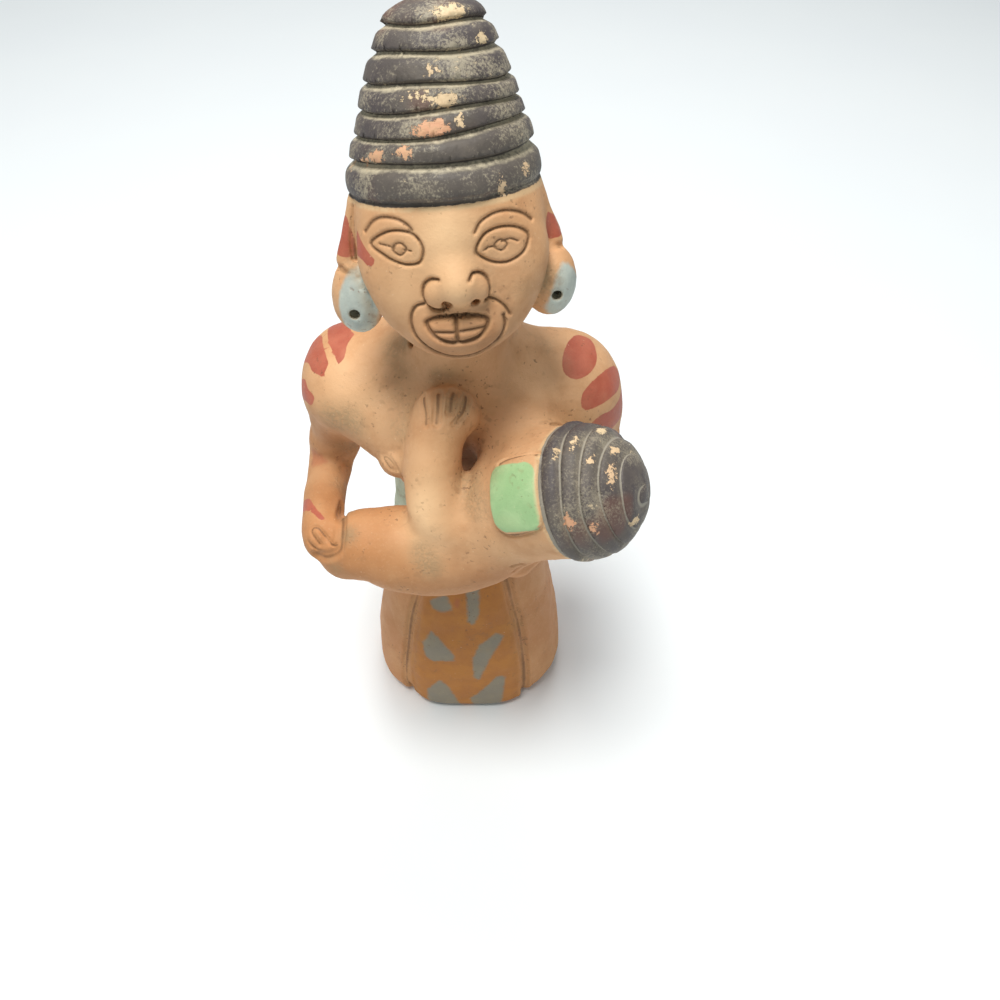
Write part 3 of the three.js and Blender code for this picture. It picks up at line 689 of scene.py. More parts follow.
def wanted(p):
    """The edge length that each place needs."""
    h = head.local(p)
    size = np.full(len(p), COARSE)
    near = incised(p)[1]
    size = np.minimum(size, FINE + 0.15 * np.maximum(near - 1.7, 0))
    face = (h[:, 2] > 9) & (np.abs(h[:, 0]) < 17) & (h[:, 1] < 0) & (h[:, 1] > -29)
    size[face] = np.minimum(size[face], FACE)
    for lump, _, least in hollows:
        there = np.flatnonzero(lump.gap(p) < 2)
        size[there] = np.minimum(size[there], least + 0.25 * np.maximum(lump.distance(p[there]) - 0.6, 0))
    for lump in (headdress, cap):
        there = np.flatnonzero(lump.gap(p) < 0)
        there = there[lump.distance(p[there]) < 0.6]
        turn = lump.place(p[there])[3]
        off = np.abs(turn - np.round(turn))
        size[there] = np.minimum(size[there], np.where(off < 0.16, RUT, ROPE))
    there = np.flatnonzero(np.abs(flap_outline(p)) + np.maximum(-child.local(p)[:, 0], 0) < 1)
    size[there] = np.minimum(size[there], FLAP)
    return size


def refine(points, faces):
    """Splits the edges that are too long; each triangle follows its split edges, so no gap opens."""
    ends = np.sort(np.vstack([faces[:, [0, 1]], faces[:, [1, 2]], faces[:, [2, 0]]]), axis=1)
    key = ends[:, 0] * len(points) + ends[:, 1]
    _, first, index = np.unique(key, return_index=True, return_inverse=True)
    edge = ends[first]
    length = np.linalg.norm(points[edge[:, 0]] - points[edge[:, 1]], axis=1)
    middle = points[edge].mean(1)
    split = length > TOO_LONG * wanted(middle)
    if not split.any():
        return points, faces, 0
    number = np.full(len(edge), -1)
    number[split] = len(points) + np.arange(split.sum())
    mids = number[index.reshape(3, -1).T]
    points = np.vstack([points, settle(middle[split])])
    code = (mids >= 0) @ [1, 2, 4]
    out = [faces[code == 0]]
    for turn in range(3):
        f, m = np.roll(faces, -turn, 1), np.roll(mids, -turn, 1)
        hit = code == 1 << turn
        (a, b, c), x = f[hit].T, m[hit, 0]
        out += [np.column_stack([a, x, c]), np.column_stack([x, b, c])]
        hit = code == (1 << turn | 1 << (turn + 1) % 3)
        (a, b, c), x, y = f[hit].T, m[hit, 0], m[hit, 1]
        out += [np.column_stack([x, b, y]), np.column_stack([a, x, y]), np.column_stack([a, y, c])]
    hit = code == 7
    (a, b, c), (x, y, z) = faces[hit].T, mids[hit].T
    out += [np.column_stack(t) for t in ((a, x, z), (x, b, y), (z, y, c), (x, y, z))]
    return points, np.vstack(out), int(split.sum())


points, faces = surface_net(coarse, [-44, -52, -2.4], [48, 38, 198], CELL)
points = settle(points)
for _ in range(4):
    points, faces, added = refine(points, faces)
    if added < 50:
        break
print("statue:", len(points), "points,", len(faces), "triangles")


# Masks for paint, chips and dust, and for painted shade and painted highlights: millimetres inside an edge
# are positive, outside are negative


def polygon_distance(q, corners):
    best = np.full(len(q), np.inf)
    inside = np.zeros(len(q), bool)
    for a, b in zip(corners, np.roll(corners, -1, 0)):
        np.minimum(best, along(q, a, b)[1], out=best)
        crossing = a[0] + (b[0] - a[0]) * (q[:, 1] - a[1]) / (b[1] - a[1] + 1e-12)
        inside ^= ((a[1] > q[:, 1]) != (b[1] > q[:, 1])) & (q[:, 0] < crossing)
    return np.where(inside, -1, 1) * np.sqrt(best)


def patch(p, outline, reach=6.0, round_corners=True):
    """A painted area whose outline runs through points on or near the surface."""
    outline = np.asarray(outline, float)
    if round_corners:
        outline = spline(outline, 3, closed=True)[:-1]
    centre = outline.mean(0)
    rows = np.linalg.svd(outline - centre)[2]
    q = (p - centre) @ rows.T
    flat = (outline - centre) @ rows[:2].T
    value = np.full(len(p), -3.0)
    beside = (np.abs(q[:, :2]) < np.abs(flat).max(0) + 3).all(1)
    close = np.flatnonzero(beside & (np.abs(q[:, 2]) < reach + 3))
    inner = -polygon_distance(q[close, :2], flat)
    value[close] = np.minimum(inner, reach - np.abs(q[close, 2]))
    return value


# Painted areas: (outline, how far from its plane the paint reaches)
RED = [
    # right shoulder
    ([[-23.8, 4, 126.3], [-22.4, 2, 126.3], [-23.6, -0.7, 126], [-23.9, -4.5, 125.1], [-24.8, -6.4, 124.2],
      [-26.6, -2.9, 124.8], [-28.5, 1.9, 124.5], [-29.5, 6.7, 123.2], [-28.5, 12, 119], [-25, 12, 121]], 7),
    ([[-30.9, 6.4, 122.4], [-29.6, 1.3, 123.9], [-28.1, -3.3, 124.1], [-27.4, -5.3, 123.7],
      [-28.2, -7, 122.6], [-27.3, -9.4, 121.5], [-28.9, -7.5, 122], [-31.6, -4.8, 121.2],
      [-33.2, -1.4, 120.9], [-35.5, 4, 116], [-33, 9, 117]], 7),
    ([[-33.8, -4.5, 118.8], [-32.8, -7.1, 118.4], [-31, -9.7, 118.1], [-31.9, -9.8, 115.8],
      [-33.8, -7.5, 114.9], [-36.5, -4, 113], [-36.5, -2, 115.5]], 5),
    # left shoulder
    ([[27.8, 5.8, 123.1], [30.9, 6.1, 121.6], [31.9, 2.1, 121.7], [31.4, -2.6, 121.4], [29.3, -6, 121.2],
      [26.8, -7.4, 121.3], [24.3, -6.7, 122.3], [23.6, -4.5, 123.6], [24.2, -1.2, 124.4],
      [25.8, 2.8, 124.2]], 6),
    ([[36.8, 2.5, 116.5], [38, 2.5, 114], [37.4, -2.5, 114.2], [35.1, -6.8, 115.4], [32.3, -9.7, 115.7],
      [28.5, -11.7, 116.1], [28, -10.1, 118.5], [29.2, -8.1, 119.8], [31.9, -4.9, 120.2],
      [34.3, -1.6, 119.4]], 6),
    ([[39.2, 1, 111.5], [39, -3, 106.5], [36.5, -8.4, 106.9], [33, -12.5, 107.3], [30.5, -13, 112.2],
      [32.4, -10.9, 113.6], [35.2, -8.4, 112.9], [37.5, -4.3, 112.5]], 6),
    # backs of the shoulders
    ([[28, 10, 120], [33, 11, 115], [34, 15, 107], [29, 17, 108], [25, 15, 115]], 7),
    ([[-27, 15, 118], [-31, 14, 115], [-33, 13, 108], [-29, 17, 107], [-24, 18, 113]], 7),
    # right forearm
    ([[-37.5, -19, 92], [-35, -19.8, 95.3], [-33.1, -22.8, 96.7], [-31.4, -25.3, 97.5], [-29.7, -27.4, 97.6],
      [-29.8, -28.2, 97.6], [-30.8, -28, 97.7], [-32.2, -26.4, 97.5], [-33.9, -24.7, 96.6],
      [-35.9, -23.2, 94.4], [-37.3, -22.5, 91.5]], 5),
    # temple and ear flaps
    (on_head((-16.6, -4.9, 8), (-15.5, -6.4, 11.2), (-14.6, -7.6, 13), (-13.5, -8.8, 14.2),
             (-14.6, -10, 13.6), (-15.9, -9.1, 11.8), (-17, -8.4, 8)), 3),
    (on_head((-18.4, -3.5, 4.2), (-17.9, -5.8, 4.5), (-18.2, -10.4, 4.5), (-21.6, -10, 3.6), (-22.4, -9, 0),
             (-19.6, -3.6, 1)), 4),
    (on_head((17.8, -5.5, 5), (17.6, -10, 5.5), (20.6, -10.2, 4), (21, -9, 2)), 3),
]
SPOOLS = [
    (on_head((-19.1, -12.4, 6.5), (-16.2, -12.6, 9), (-15.4, -15.4, 10), (-15, -19, 9.6), (-15.8, -22.6, 6.7),
             (-17.4, -24.6, 5), (-20.6, -24.6, 4), (-22, -20.8, 7), (-22, -17.7, 8.1), (-21, -14.7, 7.8)), 7),
    (on_head((20, -14.2, 7.6), (22.6, -17.4, 5), (22.8, -21.6, 4), (20.4, -24.6, 4), (18.2, -25, 5),
             (16.2, -22.9, 7.8), (16.8, -19.8, 9.1), (18, -16, 9)), 7),
]
SMUDGES = [
    ([[-37, -3, 95], [-33, -7, 96.5], [-33.6, -9.4, 95.4], [-37, -8, 93]], 4),
    ([[-3.1, -21.4, 55.2], [-1.2, -21.3, 55.5], [-0.7, -22.4, 52.1], [-2.4, -22.8, 50.3]], 4),
]
# Grey marks on the panel: straight-sided outlines
GREY = [
    [[-9.6, -24.4, 42], [-12.4, -24.7, 36], [-11.9, -25.9, 30], [-9.9, -26.6, 28.4], [-3, -26.8, 29.4],
     [-3.4, -26.5, 32.3], [-7, -25.3, 38.6]],
    [[9, -24.5, 41.4], [11.2, -24.5, 39.4], [6.7, -26.8, 29], [3.9, -27.8, 19], [2.1, -27.7, 20.4],
     [1.8, -26.9, 29.6], [3.8, -25.8, 36.4]],
    [[-12.5, -27.2, 12], [-8.1, -27.6, 19.6], [-5.8, -27.9, 15.6], [-3.6, -28.1, 8.2], [-2, -28, -1],
     [-12, -28, -1], [-13, -27.2, 6]],
    [[0.6, -28.1, 7.4], [4.6, -28, 13.2], [9, -27.5, 20.8], [11.8, -27.1, 20.2], [11, -28, 10],
     [10.4, -28, -1], [1.6, -28, -1]],
    [[-9.6, -21.4, 53], [-4.7, -21.4, 56.4], [-2.8, -22.6, 50.6], [-5.7, -22.7, 49.6], [-8.6, -22.2, 50.4]],
    [[0.6, -22, 60], [4.6, -22, 61], [4.4, -23.1, 49.4], [2.4, -24.2, 44.6], [0.9, -23.8, 46.4]],
]
# Edges of the painted panel: (z, left x, right x)
PANEL_EDGES = np.array([
    (0, -19.4, 17.5), (16, -19.1, 17.6), (27, -17.7, 16.9), (36, -16.5, 16), (42, -15.4, 15.1),
    (48, -14, 13.8), (56, -12.2, 12.3), (64, -11, 11),
])
PANEL_TOP = 68
BAND = (79, 9.5, 21)  # the waistband's height, half its width and half its length in front

# Chips in the dark paint, by frame: (place, half sizes, 1 for bare orange clay or 0 for cream)
CHIPS = [
    (head, [
        ((1.3, 14.6, 13.2), (2.5, 1.1, 2), 0.2), ((-1.2, 11, 14.4), (3, 1.2, 2), 0.9),
        ((-10.7, 7.2, 12), (1.6, 0.9, 2), 0.8), ((-6.1, 7.9, 14.6), (1.3, 0.9, 2), 0.8),
        ((3.1, 11.8, 14.2), (0.8, 1, 2), 0.2), ((7.9, 22.3, 7.2), (1, 0.9, 2), 0.1),
        ((-0.3, 18.8, 12), (1.2, 0.7, 2), 0.2), ((3.6, 26.2, 7.7), (3, 1.1, 3), 0.1),
        ((9.2, 1.4, 14.3), (0.7, 1.9, 2), 0.3), ((13.6, 3, 9.9), (0.8, 1, 2), 0.3),
        ((-13, 6.3, 9.3), (0.8, 0.7, 2), 0.7), ((-3, 15.6, 13), (3, 0.5, 2), 0.1),
        ((6, 3, -16.5), (2, 1.2, 2), 0.7), ((-12, 12, -9), (1.6, 1, 2), 0.3),
        ((-15.5, 4, 3), (1, 1.4, 2), 0.3), ((12.5, 12, -3), (2, 0.8, 2), 0.5),
    ]),
    (child, [
        ((12.9, 4.9, -5.8), (2, 1.2, 1.9), 0.9), ((10.4, 9, -7.4), (2, 0.7, 1.1), 0.9),
        ((12.2, 3.2, 7.7), (2, 0.55, 1.1), 0.2), ((10, 6.3, 9.4), (2, 0.55, 1.6), 0.2),
        ((10.8, 9.8, 6), (2, 0.6, 0.9), 0.3), ((8.6, 13, 2.6), (2, 0.55, 2), 0.4),
        ((5.6, 12.9, 7.6), (1.6, 0.8, 0.8), 0.3), ((3.6, 9.7, 11.9), (1.8, 0.8, 2), 0.1),
        ((2, 14, -6.7), (1.6, 1.4, 1.2), 0.2), ((-9, 5, -10), (2, 1, 2), 0.6),
        ((-12, 4, 6), (2, 1.2, 1.4), 0.5),
    ]),
]


def chips(p):
    value = np.full(len(p), -3.0)
    tone = np.zeros(len(p))
    for axes, table in CHIPS:
        h = axes.local(p)
        for place, sizes, orange in table:
            inner = (1 - np.linalg.norm((h - place) / sizes, axis=1)) * min(sizes[:2])
            tone = np.where(inner > value, orange, tone)
            value = np.maximum(value, inner)
    return value, tone


# Where dust and smoke settled: (place, radius, strength)
GRIME = [
    ([-27.6, -13.2, 115.2], 4.5, 0.7), ([-22.4, -15.5, 115.7], 4.5, 0.8), ([-26.5, -5, 100], 5, 0.9),
    ([-28.7, -13.9, 93.3], 3.5, 0.7), ([-9.9, -14.4, 121.7], 4, 0.5), ([-11.5, -19, 117.3], 3.5, 0.6),
    ([1.4, -19.8, 126.8], 4.5, 0.65), ([-2.6, -13.6, 127.3], 3, 0.6), ([-5.4, -39.4, 94.9], 3.6, 0.8),
    ([-7.5, -36.7, 98], 3.4, 0.6), ([-23.7, -33, 98.5], 3, 0.9), ([-24.4, -26, 96.5], 3, 0.8),
    ([-26.5, -35.5, 91], 2.6, 0.9), ([5.4, -33.6, 109.7], 4.5, 0.8), ([3.6, -27.2, 110.4], 4, 0.8),
    ([9, -30.9, 117.7], 3.5, 0.6), ([-13.3, -3.7, 128.4], 4, 0.6), ([-10.3, -6.2, 131.1], 2, 0.8),
    ([19.9, -0.9, 125.6], 5, 0.5), ([11.1, -13.1, 123.4], 5, 0.4), ([-11.4, -9.4, 125.8], 4.5, 0.45),
    ([13.9, -22.2, 155.4], 3.2, 0.45), ([18.7, -16.2, 153.2], 3.4, 0.9), (head.at(-18.6, -12, 6), 3, 0.7),
    ([0, 16, 118], 9, 0.5), ([-12, 14, 60], 9, 0.5), ([13, 18, 22], 8, 0.6), ([0, 22, 8], 7, 0.8),
]
# Painted shade, where the clay is drawn darkened on the lower face, under the child and on the arms,
# and painted highlights, where it is drawn paler: (place, radii, strength)
PAINTED_SHADE_SPOTS = [
    (head.at(0, -24, 17), [13, 9, 9], 1), ([6, -44, 92], [16, 8, 8], 0.9), ([0, -24, 66], [22, 12, 12], 1.2),
    ([-33, -14, 98], [7, 16, 14], 0.4), ([-34, 2, 108], [7, 10, 14], 0.5), ([32, -6, 110], [9, 12, 14], 0.4),
    ([-28, -34, 88], [6, 6, 5], 0.4),
]
# Painted highlights: forehead, nose, cheek, the child's arm and hip, shoulders and chest
PAINTED_HIGHLIGHT_SPOTS = [
    (head.at(-1, -4, 18), [6, 6, 9], 1.2), (head.at(0, -13.5, 22), [3.5, 3, 5], 0.9),
    ([-6, -33, 106], [5, 6, 12], 1.25), (head.at(-9, -14, 15), [4, 4, 6], 0.5),
    ([9, -41, 102], [6, 5, 5], 0.4), ([-24, -8, 122], [6, 8, 5], 0.4), ([10, -10, 122], [13, 9, 7], 0.5),
    ([-16, -12, 119], [6, 6, 6], 0.4),
]
# Painted shade in the deep hollow beside the child's arm, drawn as dark as the lines
HOLLOW_SHADE = [([3, -14.8, 104], [5.5, 4.5, 8.5], 1)]


def clouds(p, table):
    return sum(much * np.exp(-(((p - place) / radii) ** 2).sum(1)) for place, radii, much in table)


def normals_of(points, faces):
    a, b, c = (points[faces[:, i]] for i in range(3))
    flat = np.cross(b - a, c - a)
    out = np.zeros_like(points)
    for i in range(3):
        for n in range(3):
            out[:, n] += np.bincount(faces[:, i], flat[:, n], len(points))
    return out / np.maximum(np.linalg.norm(out, axis=1), 1e-12)[:, None]


def masks(p, n):
    """Every field that the material reads, by name."""
    x, y, z = p.T
    on_flap = np.minimum(child.local(p)[:, 0] - 4, 2.2 - child_head.distance(p))
    dark_head, dark_cap = headdress.distance(p), cap.distance(p)
    turn = 2 * math.pi * np.where(dark_head < dark_cap, headdress.place(p)[3], cap.place(p)[3])
    left, right = (np.interp(z, PANEL_EDGES[:, 0], PANEL_EDGES[:, side]) for side in (1, 2))
    band_z, band_width, band_length = BAND
    chip, tone = chips(p)
    line = np.exp(-(incised(p)[1] ** 2))
    return {
        "red": np.max([patch(p, *row) for row in RED], 0),
        "smudge": np.max([patch(p, *row) for row in SMUDGES], 0),
        "spool": np.max([patch(p, *row) for row in SPOOLS], 0),
        "grey": np.max([patch(p, row, round_corners=False) for row in GREY], 0),
        "flap": np.minimum(-0.3 - flap_outline(p, 0.6), on_flap),
        "dark": 0.55 - np.minimum(dark_head, dark_cap),
        "on_cap": dark_cap < dark_head,
        "ring_sin": np.sin(turn),
        "ring_cos": np.cos(turn),
        "ochre": np.min([x - left, right - x, -y - 10, PANEL_TOP - z], 0),
        "band": np.min([band_width - np.abs(z - band_z), band_length - np.abs(x), y + 17], 0),
        "chip": chip,
        "chip_tone": tone,
        # The line field also carries the painted shade of the hollow beside the child's arm
        "line": np.maximum(line, clouds(p, HOLLOW_SHADE)),
        "small_hollow": 1 - coarse(p + n * 1.6) / 1.6,
        "broad_hollow": 1 - coarse(p + n * 5.5) / 5.5,
        "grime": np.minimum(clouds(p, GRIME), 1),
        "painted_shade": clouds(p, PAINTED_SHADE_SPOTS),
        "painted_highlight": clouds(p, PAINTED_HIGHLIGHT_SPOTS),
    }


# The mesh

normals = normals_of(points, faces)
fields = masks(points, normals)
mesh = bpy.data.meshes.new("statue")
mesh.vertices.add(len(points))
mesh.vertices.foreach_set("co", (points * MM).ravel())
mesh.loops.add(3 * len(faces))
mesh.loops.foreach_set("vertex_index", faces.astype(np.int32).ravel())
mesh.polygons.add(len(faces))
mesh.polygons.foreach_set("loop_start", np.arange(0, 3 * len(faces), 3, dtype=np.int32))
mesh.update(calc_edges=True)
mesh.validate()
mesh.shade_smooth()
for name, value in fields.items():
    layer = mesh.attributes.new(name, "FLOAT", "POINT")
    layer.data.foreach_set("value", np.clip(value, -3, 3).astype(np.float32))
statue = bpy.data.objects.new("statue", mesh)
bpy.context.collection.objects.link(statue)
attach(statue, "root")
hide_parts("mother_and_child")


# Materials


def colour(red, green, blue):
    """A display colour, 0 to 255, as the linear colour that a shader takes."""
    c = np.array([red, green, blue]) / 255
    c = np.where(c <= 0.04045, c / 12.92, ((c + 0.055) / 1.055) ** 2.4)
    return (*c, 1.0)


def put(socket, value):
    if isinstance(value, Signal):
        socket.id_data.links.new(value.socket, socket)
    else:
        socket.default_value = value


class Signal:
    """A shader value. Sums and products of signals and numbers add the nodes that work them out."""

    def __init__(self, socket):
        self.socket = socket

    def math(self, operation, other=0.0):
        node = self.socket.id_data.nodes.new("ShaderNodeMath")
        node.operation = operation
        put(node.inputs[0], self)
        put(node.inputs[1], other)
        return Signal(node.outputs[0])

    def __add__(self, other):
        return self.math("ADD", other)

    def __sub__(self, other):
        return self.math("SUBTRACT", other)

    def __rsub__(self, other):
        return self * -1 + other

    def __mul__(self, other):
        return self.math("MULTIPLY", other)

    def swing(self, much):
        """A noise between 0 and 1 as a swing about zero."""
        return (self - 0.5) * much

    def step(self, low, high, bottom=0.0, top=1.0):
        """Rises smoothly from bottom to top while the signal goes from low to high."""
        node = self.socket.id_data.nodes.new("ShaderNodeMapRange")
        node.interpolation_type = "SMOOTHSTEP"
        put(node.inputs["Value"], self)
        for name, number in (("From Min", low), ("From Max", high), ("To Min", bottom), ("To Max", top)):
            put(node.inputs[name], number)
        return Signal(node.outputs["Result"])


class Finish:
    """A material's nodes, each made by one call that returns its signal."""

    def __init__(self, name):
        self.material = bpy.data.materials.new(name)
        self.material.use_nodes = True
        self.shader = self.material.node_tree.nodes["Principled BSDF"].inputs
        self.place = Signal(self.node("ShaderNodeTexCoord").outputs["Object"])

    def node(self, kind, **settings):
        node = self.material.node_tree.nodes.new(kind)
        for name, value in settings.items():
            setattr(node, name, value)
        return node

    def field(self, name):
        return Signal(self.node("ShaderNodeAttribute", attribute_name=name).outputs["Fac"])

    def noise(self, millimetres, detail=3.0, roughness=0.55, shift=0.0):
        mapping = self.node("ShaderNodeMapping")
        put(mapping.inputs["Location"], (shift, shift, shift))
        put(mapping.inputs["Vector"], self.place)
        node = self.node("ShaderNodeTexNoise")
        put(node.inputs["Scale"], 1 / (millimetres * MM))
        put(node.inputs["Detail"], detail)
        put(node.inputs["Roughness"], roughness)
        put(node.inputs["Vector"], Signal(mapping.outputs[0]))
        return Signal(node.outputs["Fac"])

    def mix(self, amount, a, b):
        """Colour a turning into b. In data type RGBA the node's colour sockets are numbers 6, 7 and 2."""
        node = self.node("ShaderNodeMix", data_type="RGBA")
        put(node.inputs[0], amount)
        put(node.inputs[6], a)
        put(node.inputs[7], b)
        return Signal(node.outputs[2])

    def coat(self, base, cover, tint):
        """The base colour under a tint, where the cover goes from 0 to 1."""
        return self.mix(cover, base, colour(*tint))

    def blotches(self, amount, one, other):
        return self.mix(amount, colour(*one), colour(*other))

    def bump(self, height, millimetres, strength, **below):
        node = self.node("ShaderNodeBump")
        put(node.inputs["Distance"], millimetres * MM)
        put(node.inputs["Strength"], strength)
        put(node.inputs["Height"], height)
        for name, normal in below.items():
            put(node.inputs[name], normal)
        return Signal(node.outputs[0])


# Paints as they were brushed on: (field, two tints, least cover, edge from and to, how ragged)
PAINTS = [
    ("ochre", (180, 112, 42), (192, 126, 56), 0.9, 0.2, 2.4, 1.4),
    ("grey", (140, 130, 112), (152, 140, 118), 0.8, -0.5, 0.7, 1.6),
    ("band", (196, 206, 180), (172, 186, 158), 0.75, -0.1, 0.2, 2.0),
    ("red", (178, 90, 66), (190, 106, 80), 0.82, -0.06, 0.12, 0.35),
    ("spool", (196, 202, 190), (168, 176, 168), 0.9, -0.35, 0.5, 0.8),
    ("flap", (160, 196, 138), (176, 206, 150), 0.95, -0.05, 0.25, 0.5),
]


class FiredClay(Finish):
    """The statue's clay with its paint, dirt and wear, and painted shade and highlights, placed by the fields
    on the mesh.
    """

    def __init__(self):
        super().__init__("fired_clay")
        self.cloud = self.noise(22, 3, 0.55)
        self.wide = self.noise(9, 3, 0.6, shift=1.9)
        self.mottle = self.noise(5, 4, 0.6, shift=0.3)
        self.ragged = self.noise(1.6, 4, 0.7, shift=0.5)
        self.grain = self.noise(0.7, 3, 0.6)
        clay, gloss = self.painted(self.bare())
        clay, dusty, caked, flecks = self.soiled(clay)
        slip, worn, bits = self.dark_slip()
        dark = self.field("dark")
        rim = dark.step(-0.9, -0.3) * (self.wide + self.grain.swing(0.4)).step(0.3, 0.5)
        clay = self.coat(clay, rim * 0.6, (226, 196, 150))
        covered = (dark + self.ragged.swing(0.5)).step(0, 0.15)
        rough = self.mottle.step(0.3, 0.75, 0.62, 0.8) - gloss - covered * 0.08 + dusty * 0.1
        height = self.grain * 0.6 + self.noise(0.28, 2, 0.6, shift=0.9) * 0.35 - flecks * 0.6
        height += caked * self.grain * 1.2 + covered * (0.5 - worn * 0.9 - bits * 0.6)
        soft = self.bump(self.mottle, 0.35, 0.6)
        put(self.shader["Base Color"], self.mix(covered, clay, slip))
        put(self.shader["Roughness"], rough)
        put(self.shader["Specular IOR Level"], 0.5)
        put(self.shader["Normal"], self.bump(height, 0.16, 0.7, Normal=soft))

    def bare(self):
        """Clay drawn in warmer, darkened tints towards the ground as painted shade, with painted shade and
        painted highlights in places.
        """
        place = self.node("ShaderNodeSeparateXYZ")
        put(place.inputs[0], self.place)
        # Painted shade: below about 88 to 108 mm the clay takes the darkened, warmer tints
        high = (Signal(place.outputs["Z"]) + self.cloud.swing(0.03)).step(0.088, 0.108)
        patchy = self.cloud.step(0.35, 0.66)
        shaded_low_clay = self.blotches(patchy, (198, 136, 84), (206, 148, 96))
        pale = self.blotches(patchy, (212, 160, 112), (220, 172, 126))
        clay = self.mix(high, shaded_low_clay, pale)
        clay = self.coat(clay, self.mottle.step(0.42, 0.75, 0, 0.45), (190, 132, 86))
        clay = self.coat(clay, self.grain.step(0.5, 0.8, 0, 0.22), (228, 186, 142))
        uneven = (self.mottle + self.cloud * 0.5).step(0.5, 0.95, 0.75, 1)
        # Painted shade on the lower face, under the child and on the arms
        clay = self.coat(clay, self.field("painted_shade") * uneven * 0.75, (168, 116, 76))
        # Painted highlights on the forehead, nose, child's arm, shoulders and chest
        return self.coat(clay, self.field("painted_highlight") * uneven * 0.85, (250, 206, 156))

    def painted(self, clay):
        """The clay under its paints, which have brushed edges and thin places, and their gloss."""
        cover = {}
        for name, one, other, least, low, high, ragged in PAINTS:
            edge = self.field(name) + self.ragged.swing(ragged)
            cover[name] = edge.step(low, high) * self.wide.step(0.2, 0.45, least, 1)
            clay = self.mix(cover[name], clay, self.blotches(self.mottle.step(0.35, 0.7), one, other))
        smudge = self.field("smudge") + self.ragged.swing(1.92)
        clay = self.coat(clay, smudge.step(-0.2, 1.2) * 0.45, (176, 92, 66))
        return clay, (cover["red"] + cover["flap"]) * 0.12 + cover["spool"] * 0.14

    def soiled(self, clay):
        """The clay under dust and smoke in its hollows, painted shade in its deepest hollows, brown specks,
        and dirt and painted shade in its lines.
        """
        small, broad = self.field("small_hollow"), self.field("broad_hollow")
        sheltered = broad.step(0.2, 0.9) * 0.5 + small.step(0.12, 0.8) * 0.45
        dusty = sheltered * (self.wide + self.mottle.swing(0.8)).step(0.3, 0.66, 0.3, 1)
        clay = self.coat(clay, dusty * 0.4, (196, 164, 118))
        uneven = (self.mottle + self.grain.swing(0.9)).step(0.3, 0.62, 0.45, 1)
        caked = self.field("grime").step(0.1, 0.9) * uneven
        clay = self.coat(clay, caked * 0.6, (156, 134, 100))
        # Painted shade: the deepest hollows drawn dark brown
        deep = broad.step(0.85, 1.15) * small.step(0.1, 0.7, 0.3, 1)
        clay = self.coat(clay, deep * 0.12, (130, 92, 60))
        where = (self.wide * 0.7 + sheltered * 0.25).step(0.3, 0.5)
        spots = self.noise(2.2, 2, 0.5, shift=1.1).step(0.58, 0.7) * where
        clay = self.coat(clay, spots * 0.34, (146, 104, 68))
        flecks = self.noise(0.9, 1.5, 0.5, shift=0.7).step(0.64, 0.72) * where
        clay = self.coat(clay, flecks * 0.55, (118, 82, 54))
        pale = self.noise(0.7, 1, 0.5, shift=2.3).step(0.74, 0.8)
        clay = self.coat(clay, pale * 0.3, (240, 214, 176))
        # Dark brown in the incised lines: dirt in them and painted shade, and painted shade in the hollow
        # beside the child's arm
        line = (self.field("line") + self.ragged.swing(0.4)).step(0.35, 0.95)
        return self.coat(clay, line * 0.72, (100, 68, 38)), dusty, caked, flecks

    def dark_slip(self):
        """Slip on the headdress and cap, pale with dust on the ledges between the ropes, with painted shadow
        in the headdress's grooves and pale dust in the cap's, chipped and worn.
        """
        on_cap = self.field("on_cap")
        slip = self.blotches(self.cloud.step(0.4, 0.62), (96, 88, 80), (80, 72, 72))
        slip = self.coat(slip, self.mottle.step(0.45, 0.72, 0, 0.5), (120, 110, 98))
        slip = self.coat(slip, self.noise(15, 2, 0.5, shift=3.1).step(0.57, 0.68) * 0.42, (122, 78, 62))
        # Share of a turn from the nearest groove, below zero under it
        part = self.field("ring_sin").math("ARCTAN2", self.field("ring_cos")) * (0.5 / math.pi)
        off = part.math("ABSOLUTE")
        ledge = (off + self.mottle.swing(0.3)).step(0.13, 0.24, 1, 0) * part.step(-0.02, 0, 1, 0)
        ledge *= (self.grain + self.wide * 0.8).step(0.6, 1, 0.3, 1)
        slip = self.coat(slip, ledge * (0.85 - on_cap * 0.75), (222, 208, 176))
        powder = (self.noise(0.5, 5, 0.8, shift=4.1) + self.wide.swing(0.8)).step(0.47, 0.7, 0, 0.7)
        slip = self.coat(slip, powder * (1 - on_cap * 0.4), (188, 176, 150))
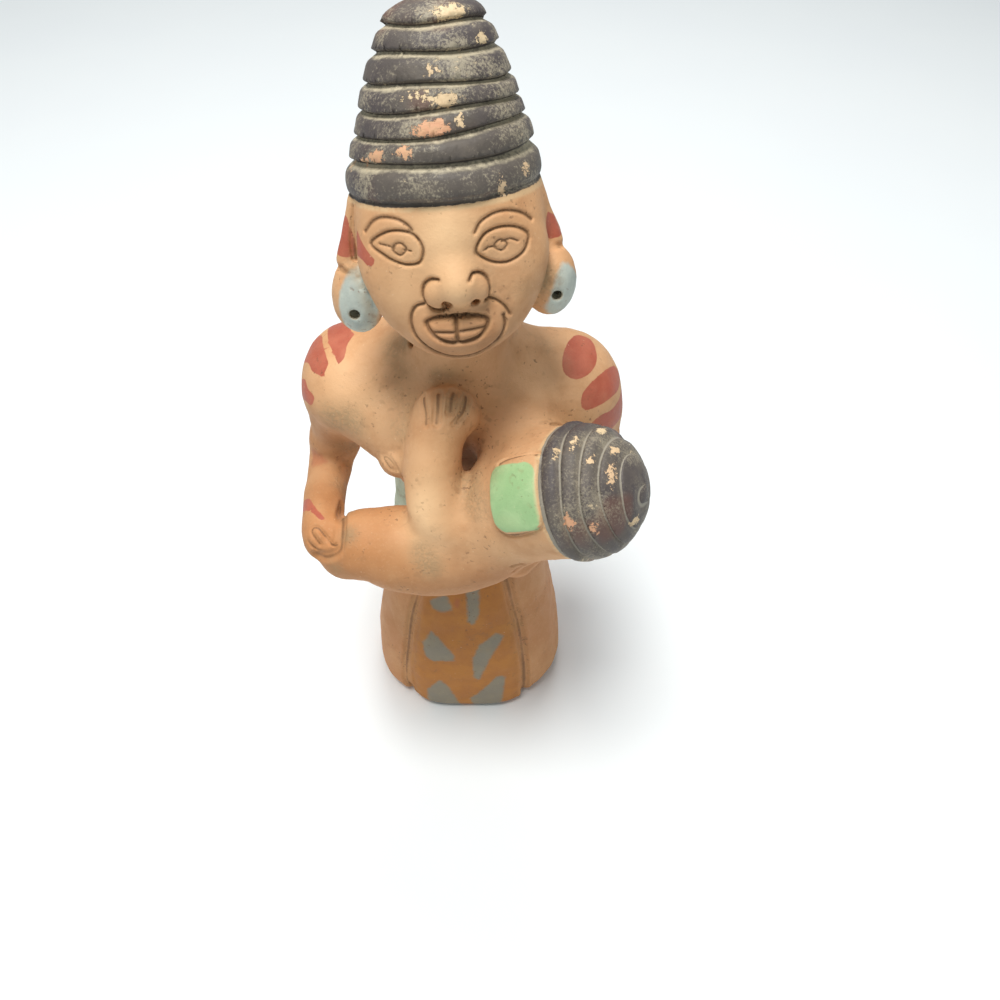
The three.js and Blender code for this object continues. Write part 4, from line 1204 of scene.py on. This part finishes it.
        # Painted shadow: the headdress's grooves drawn dark brown; the cap's grooves drawn pale grey with
        # dust
        groove_shade_and_dust = (off + self.ragged.swing(0.06) - on_cap * 0.035).step(0.005, 0.055, 1, 0)
        slip = self.mix(groove_shade_and_dust * 0.85, slip, self.blotches(on_cap, (66, 58, 50), (160, 152, 136)))
        bits = (self.noise(1.2, 4, 0.7, shift=5.3) + self.wide.swing(0.5)).step(0.68, 0.71)
        slip = self.coat(slip, bits * 0.75, (216, 194, 158))
        worn = (self.field("chip") + self.noise(1.1, 4, 0.75, shift=6.1).swing(3.6)).step(0, 0.15)
        under = self.blotches(self.field("chip_tone"), (232, 210, 168), (222, 160, 122))
        under = self.coat(under, self.grain.step(0.4, 0.7, 0, 0.4), (206, 172, 130))
        return self.mix(worn, slip, under), worn, bits


mesh.materials.append(FiredClay().material)


# Floor, light and camera

MIDDLE = Vector((0, 0, 0.1))
TILT_DOWN = 50.4  # degrees

floor_mesh = bpy.data.meshes.new("floor")
floor_mesh.from_pydata([(-3, -3, 0), (3, -3, 0), (3, 5, 0), (-3, 5, 0)], [], [(0, 1, 2, 3)])
floor = bpy.data.objects.new("floor", floor_mesh)
bpy.context.collection.objects.link(floor)
paper = Finish("floor")
pale = paper.mix(paper.noise(90, 2).step(0.3, 0.7), (0.92, 0.95, 0.96, 1), (0.93, 0.96, 0.965, 1))
put(paper.shader["Base Color"], pale)
put(paper.shader["Roughness"], 0.7)
floor_mesh.materials.append(paper.material)


def disk_light(name, place, size, power, tint=(1, 1, 1)):
    """A round light aimed at the statue's middle."""
    data = bpy.data.lights.new(name, "AREA")
    data.shape = "DISK"
    data.size = size
    data.energy = power
    data.color = tint
    light = bpy.data.objects.new(name, data)
    light.location = place
    light.rotation_euler = (Vector(place) - MIDDLE).to_track_quat("Z", "Y").to_euler()
    bpy.context.collection.objects.link(light)


disk_light("key", (-0.12, -0.14, 1.09), 0.45, 9.8, (1, 0.99, 0.97))
disk_light("back", (0.04, 0.5, 0.95), 0.4, 2.4)
world = bpy.data.worlds.new("studio")
world.use_nodes = True
background = world.node_tree.nodes["Background"].inputs
put(background["Color"], (0.88, 0.96, 1, 1))
put(background["Strength"], 0.31)
bpy.context.scene.world = world
bpy.context.scene.view_settings.view_transform = "Standard"
bpy.context.scene.view_settings.look = "None"

camera_data = bpy.data.cameras.new("camera")
camera_data.sensor_width = 36
camera_data.lens = 28.8
camera = bpy.data.objects.new("camera", camera_data)
camera.location = (0.010, -0.140, 0.240)
camera.rotation_euler = (math.radians(90 - TILT_DOWN), 0, 0)
camera_data.clip_start = 0.01
bpy.context.collection.objects.link(camera)
bpy.context.scene.camera = camera
